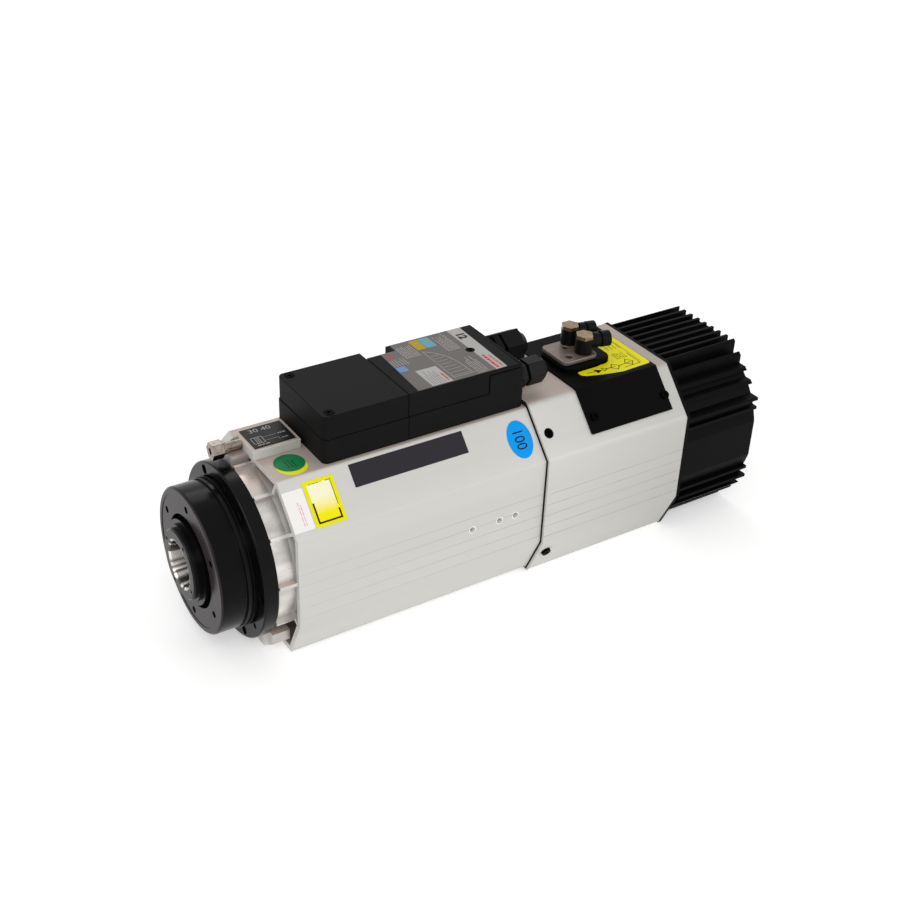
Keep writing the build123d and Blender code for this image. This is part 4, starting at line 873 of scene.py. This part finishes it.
films("lid_label", lid_top, [
    (grey_film, [[(157.3, -31.0), (strip_x, -31.0), *clearance(-80, -280), (strip_x, 31.4),
                  (172.0, 31.4), (172.0, 23.0), (160.3, 23.0)]], lift, film_thickness),
    (pale_film, [[(strip_x, -31.0), (226.0, -30.6), (228.2, 31.4), (strip_x, 31.4), *clearance(80, -80)]],
     lift, film_thickness),
    *printed(gold_print, [bar(185.5, 16.0, 192.4, 29.8)]),
    *printed(sky_print, [bar(192.8, 16.0, 200.6, 29.8)]),
    *printed(soft_blue_print, [rounded(159.4, -5.0, 166.0, 1.6, 1.0)]),
    *printed(pale_film, [bar(168.6, -30.2, 184.2, -8.0)]),
    *printed(red_print, text_rows(180.6, -28.0, 183.8, -11.0, rows=1, seed=31, height=1.3, across=True),
             level=1),
    *printed(grey_film, text_rows(169.8, -29.0, 180.0, -10.0, rows=6, seed=32, height=0.4, across=True),
             level=1),
    *printed(red_print, text_rows(218.6, -29.2, 221.6, -5.4, rows=1, seed=33, height=1.9, across=True)),
    *printed(red_print, text_rows(222.4, -29.2, 225.0, -7.4, rows=1, seed=30, height=1.0, across=True)),
    *printed(red_print, text_rows(162.0, 14.0, 166.0, 22.0, rows=2, seed=34, height=0.9, across=True)),
    *printed(pale_print, text_rows(159.5, 3.0, 171.5, 13.0, rows=6, seed=35, height=0.5, across=True)),
    *printed(pale_print, text_rows(172.5, 9.5, 184.4, 30.6, rows=8, seed=36, height=0.5, across=True)),
    *printed(pale_print, text_rows(202.6, 5.0, 213.0, 30.6, rows=8, seed=37, height=0.5, across=True)),
    *printed(pale_print, text_rows(204.0, -29.8, 213.0, -5.0, rows=6, seed=39, height=0.5, across=True)),
    *drawn(pale_print, [(187.0, 13.0), (187.0, -28.0)], chart_axis_width),
    *drawn(pale_print, [(187.0, -27.0), (203.0, -27.0)], chart_axis_width),
    *drawn(pale_print, chart_curve, chart_curve_width),
    *[layer for line in chart_lines for layer in drawn(pale_print, line, chart_line_width)],
])
figures("lid_label_number", "12", lid_top, 222.4, 20.0, height=8.4, turn=radians(-92),
        material=black_print, bold=0.45)

# Painted shade: a dark ring round each lid screw, where its countersink lies in shade
front_lid_top = level_face(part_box("box_front_lid")[1].z / mm)
screw_radius = 2.7
lid_screw_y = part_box("lid_screws")[1].y / mm - screw_radius
front_screw_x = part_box("lid_screws")[0].x / mm + screw_radius
for k, (face, u, v) in enumerate((
    (front_lid_top, front_screw_x, -lid_screw_y), (front_lid_top, front_screw_x, lid_screw_y),
    (lid_top, lid_screw_x, 0.0),
)):
    films(f"screw_recess_shade_{k + 1}", face, [
        (screw_black, ring(u, v, outer=3.2, inner=2.75), lift, film_thickness)])

# Print on the small plate of the name pad
plate_low, plate_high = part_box("name_plate")
pad_u0, pad_v0 = plate_low.x / mm, plate_low.y / mm
pad_u1, pad_v1 = plate_high.x / mm, plate_high.y / mm
pad_frame = closed(bar(pad_u0 + 2, pad_v0 + 4, pad_u0 + 9.4, pad_v0 + 11.4))
pad_bars = [[(pad_u0 + 4.4 + 1.3 * k, pad_v0 + 4.4), (pad_u0 + 4.4 + 1.3 * k, pad_v0 + 11)] for k in range(3)]
pad_line, pad_fine_line = 0.4, 0.25
films("pad_print", pad_top, [
    *drawn(pale_print, pad_frame, pad_line),
    *[layer for points in pad_bars for layer in drawn(pale_print, points, pad_line)],
    *drawn(pale_print, [(pad_u0 + 9.8, pad_v0 + 9.6), (pad_u0 + 19, pad_v0 + 9.6)], pad_fine_line),
    *drawn(pale_print, [(pad_u0 + 9.8, pad_v0 + 5.4), (pad_u0 + 19, pad_v0 + 5.4),
                        (pad_u0 + 19, pad_v0 + 2.8)], pad_fine_line),
    *printed(pale_print, text_rows(
        pad_u0 + 3, pad_v0 + 1, pad_u0 + 16, pad_v0 + 2.6, rows=1, seed=43, height=0.8)),
    *printed(pale_print, text_rows(
        pad_u0 + 20.4, pad_v0 + 8.6, pad_u1 - 2, pad_v0 + 11, rows=1, seed=42, height=1.1)),
    *printed(pale_print, text_rows(
        pad_u0 + 20.4, pad_v0 + 3, pad_u1 - 2, pad_v0 + 4.4, rows=1, seed=41, height=0.7)),
])
figures("pad_number", "30 40", pad_top, pad_u0 + 12.0, pad_v1 - 4.6, height=6.0, turn=0.0,
        material=pale_print, stretch=1.15)


# Thread ridges on the glands and the side holes, from one tree

def ridge_tree():
    """Row of round ridges along X, from a count, pitch, ring radius and wire radius."""
    tree = bpy.data.node_groups.new("thread_ridges", "GeometryNodeTree")
    tree.interface.new_socket("Geometry", in_out="OUTPUT", socket_type="NodeSocketGeometry")
    for label, kind in (("Count", "NodeSocketInt"), ("Pitch", "NodeSocketFloat"),
                        ("Ring Radius", "NodeSocketFloat"), ("Wire Radius", "NodeSocketFloat"),
                        ("Material", "NodeSocketMaterial")):
        tree.interface.new_socket(label, in_out="INPUT", socket_type=kind)
    given = tree.nodes.new("NodeGroupInput")
    made = tree.nodes.new("NodeGroupOutput")
    step = tree.nodes.new("ShaderNodeCombineXYZ")
    tree.links.new(given.outputs["Pitch"], step.inputs["X"])
    row = tree.nodes.new("GeometryNodeMeshLine")
    tree.links.new(given.outputs["Count"], row.inputs["Count"])
    tree.links.new(step.outputs[0], row.inputs["Offset"])
    hoop = tree.nodes.new("GeometryNodeCurvePrimitiveCircle")
    hoop.inputs["Resolution"].default_value = 48
    tree.links.new(given.outputs["Ring Radius"], hoop.inputs["Radius"])
    wire = tree.nodes.new("GeometryNodeCurvePrimitiveCircle")
    wire.inputs["Resolution"].default_value = 6
    tree.links.new(given.outputs["Wire Radius"], wire.inputs["Radius"])
    solid = tree.nodes.new("GeometryNodeCurveToMesh")
    tree.links.new(hoop.outputs["Curve"], solid.inputs["Curve"])
    tree.links.new(wire.outputs["Curve"], solid.inputs["Profile Curve"])
    repeat = tree.nodes.new("GeometryNodeInstanceOnPoints")
    repeat.inputs["Rotation"].default_value = (0, pi / 2, 0)
    tree.links.new(row.outputs["Mesh"], repeat.inputs["Points"])
    tree.links.new(solid.outputs["Mesh"], repeat.inputs["Instance"])
    real = tree.nodes.new("GeometryNodeRealizeInstances")
    tree.links.new(repeat.outputs["Instances"], real.inputs["Geometry"])
    dress = tree.nodes.new("GeometryNodeSetMaterial")
    tree.links.new(real.outputs["Geometry"], dress.inputs["Geometry"])
    tree.links.new(given.outputs["Material"], dress.inputs["Material"])
    tree.links.new(dress.outputs["Geometry"], made.inputs["Geometry"])
    return tree


thread_ridges = ridge_tree()


def ridges(name, place, count, pitch, radius, wire, material, axis_turn=None):
    """Thread ridges from a place in millimetres, along X or turned."""
    rough = in_scene(f"{name}_row", bpy.data.meshes.new(f"{name}_row"))
    layer = rough.modifiers.new("ridges", "NODES")
    layer.node_group = thread_ridges
    values = {"Count": count, "Pitch": pitch * mm, "Ring Radius": radius * mm, "Wire Radius": wire * mm,
              "Material": material}
    for socket in thread_ridges.interface.items_tree:
        if socket.in_out == "INPUT":
            layer[socket.identifier] = values[socket.name]
    rough.matrix_world = Matrix.Translation(Vector(place) * mm) @ (axis_turn or Matrix.Identity(4))
    piece = plain_piece(rough, name)
    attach(piece, "body")
    return piece


near_nut_low, near_nut_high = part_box("gland_nut_near")
far_nut_low, far_nut_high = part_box("gland_nut_far")
near_axis = ((near_nut_low.y + near_nut_high.y) / 2 / mm, (near_nut_low.z + near_nut_high.z) / 2 / mm)
far_axis = ((far_nut_low.y + far_nut_high.y) / 2 / mm, (far_nut_low.z + far_nut_high.z) / 2 / mm)
before_nut = 1.6
far_neck_radius = 8.9
ridges("near_gland_thread", (near_nut_low.x / mm - before_nut, *near_axis), count=2, pitch=0.8,
       radius=6.4, wire=0.34, material=gland_plastic)
ridges("far_gland_thread", (far_nut_low.x / mm - before_nut, *far_axis), count=2, pitch=0.8,
       radius=far_neck_radius, wire=0.34, material=gland_plastic)
ridges("far_gland_neck_thread", (rear_lid_end + 0.7, *far_axis), count=5, pitch=0.85,
       radius=far_neck_radius, wire=0.38, material=gland_plastic)

# Bright thread in the three side holes, and a painted highlight as a bright ring round each
side_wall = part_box("front_body")[0].y / mm
side_hole_z = 1.0
# Bright metal for the threads; on the rings round the holes the same colour is a painted highlight
bright_insert_and_glint = finish_of("bright_insert_and_glint", colour(250, 250, 250), colour(206, 204, 202), (0.2, 0.3), metallic=0.3)
side_face = Face((0, side_wall, 0), (1, 0, 0), (0, 0, 1))
for k, before_seam in enumerate((58.0, 36.0, 23.1)):
    hole_x = seam_x - before_seam
    ridges(f"side_hole_thread_{k + 1}", (hole_x, side_wall + 0.75, side_hole_z), count=4, pitch=0.55,
           radius=2.12, wire=0.2, material=bright_insert_and_glint,
           axis_turn=Matrix.Rotation(pi / 2, 4, "Z"))
    # Painted highlight: a flat bright ring round the hole stands in for the glint on its chamfer
    films(f"side_hole_glint_{k + 1}", side_face, [
        (bright_insert_and_glint, ring(hole_x, side_hole_z, outer=2.95, inner=2.15), lift, film_thickness)])


# Camera of the photograph
target = Vector((219.3, 23.3, 6.2)) * mm
azimuth = radians(-33.67)
elevation = radians(32.02)
roll = radians(2.32)
distance = 985.0 * mm
back = Vector((sin(azimuth) * cos(elevation), -cos(azimuth) * cos(elevation), sin(elevation)))
lens_data = bpy.data.cameras.new("photo_camera")
lens_data.sensor_width = 36.0
lens_data.lens = 54.56
lens_data.clip_start = 0.01
lens_data.clip_end = 50.0
camera = in_scene("photo_camera", lens_data)
camera.rotation_mode = "QUATERNION"
camera.location = target + back * distance
camera.rotation_quaternion = (-back).to_track_quat("-Z", "Y") @ Quaternion((0, 0, 1), roll)
bpy.context.scene.camera = camera


# Floor, light and background

def floor():
    """Wide pale floor under the object, which grows as bright as the background far away."""
    mesh = bpy.data.meshes.new("floor")
    half = 6.0
    near_glow = 0.35
    glow_from, glow_to = 0.9, 2.0
    corners = [(-half, -half), (half, -half), (half, half), (-half, half)]
    mesh.from_pydata([(x, y, floor_z) for x, y in corners], [], [(0, 1, 2, 3)])
    made = in_scene("floor", mesh)
    surface = bpy.data.materials.new("pale_floor")
    surface.use_nodes = True
    tree = surface.node_tree
    shader = tree.nodes["Principled BSDF"]
    shader.inputs["Base Color"].default_value = (0.86, 0.86, 0.86, 1)
    shader.inputs["Roughness"].default_value = 0.9
    shader.inputs["Specular IOR Level"].default_value = 0.1
    shader.inputs["Emission Color"].default_value = (1, 1, 1, 1)
    place = tree.nodes.new("ShaderNodeTexCoord")
    length = tree.nodes.new("ShaderNodeVectorMath")
    length.operation = "LENGTH"
    tree.links.new(place.outputs["Object"], length.inputs[0])
    far = ramp(tree, length.outputs["Value"], glow_from, glow_to)
    rays = tree.nodes.new("ShaderNodeLightPath")
    glow = combine(tree, "MULTIPLY", far, rays.outputs["Is Camera Ray"])
    tree.links.new(combine(tree, "ADD", glow, near_glow), shader.inputs["Emission Strength"])
    mesh.materials.append(surface)


def soft_light(name, place, aim, size, power):
    """White square light at a place, facing a point."""
    data = bpy.data.lights.new(name, "AREA")
    data.shape = "SQUARE"
    data.size = size
    data.energy = power
    lamp = in_scene(name, data)
    lamp.location = place
    lamp.rotation_mode = "QUATERNION"
    lamp.rotation_quaternion = (Vector(aim) - Vector(place)).to_track_quat("-Z", "Y")


def surroundings():
    """White background for the camera and for gloss, softer light from the sky."""
    world = bpy.data.worlds.new("studio")
    bpy.context.scene.world = world
    world.use_nodes = True
    tree = world.node_tree
    tree.nodes.clear()
    out = tree.nodes.new("ShaderNodeOutputWorld")
    white = tree.nodes.new("ShaderNodeBackground")
    white.inputs["Color"].default_value = (1, 1, 1, 1)
    white.inputs["Strength"].default_value = 1.0
    sky = tree.nodes.new("ShaderNodeBackground")
    sky.inputs["Color"].default_value = (1.0, 0.99, 0.98, 1)
    sky.inputs["Strength"].default_value = 0.55
    rays = tree.nodes.new("ShaderNodeLightPath")
    shown = combine(tree, "MAXIMUM", rays.outputs["Is Camera Ray"], rays.outputs["Is Glossy Ray"])
    shown = combine(tree, "MAXIMUM", shown, rays.outputs["Is Transmission Ray"])
    mix = tree.nodes.new("ShaderNodeMixShader")
    tree.links.new(shown, mix.inputs[0])
    tree.links.new(sky.outputs[0], mix.inputs[1])
    tree.links.new(white.outputs[0], mix.inputs[2])
    tree.links.new(mix.outputs[0], out.inputs[0])


floor()
surroundings()
middle = (0.2, 0.0, 0.0)
soft_light("key", (-0.5, -1.3, 1.3), middle, size=0.9, power=11.0)
soft_light("side", (1.2, -1.2, 0.6), middle, size=0.8, power=5.0)
soft_light("front", (-1.3, 0.1, 0.5), middle, size=0.7, power=4.0)
soft_light("rim", (0.6, 1.3, 1.2), middle, size=0.8, power=4.0)

bpy.context.scene.view_settings.view_transform = "Standard"
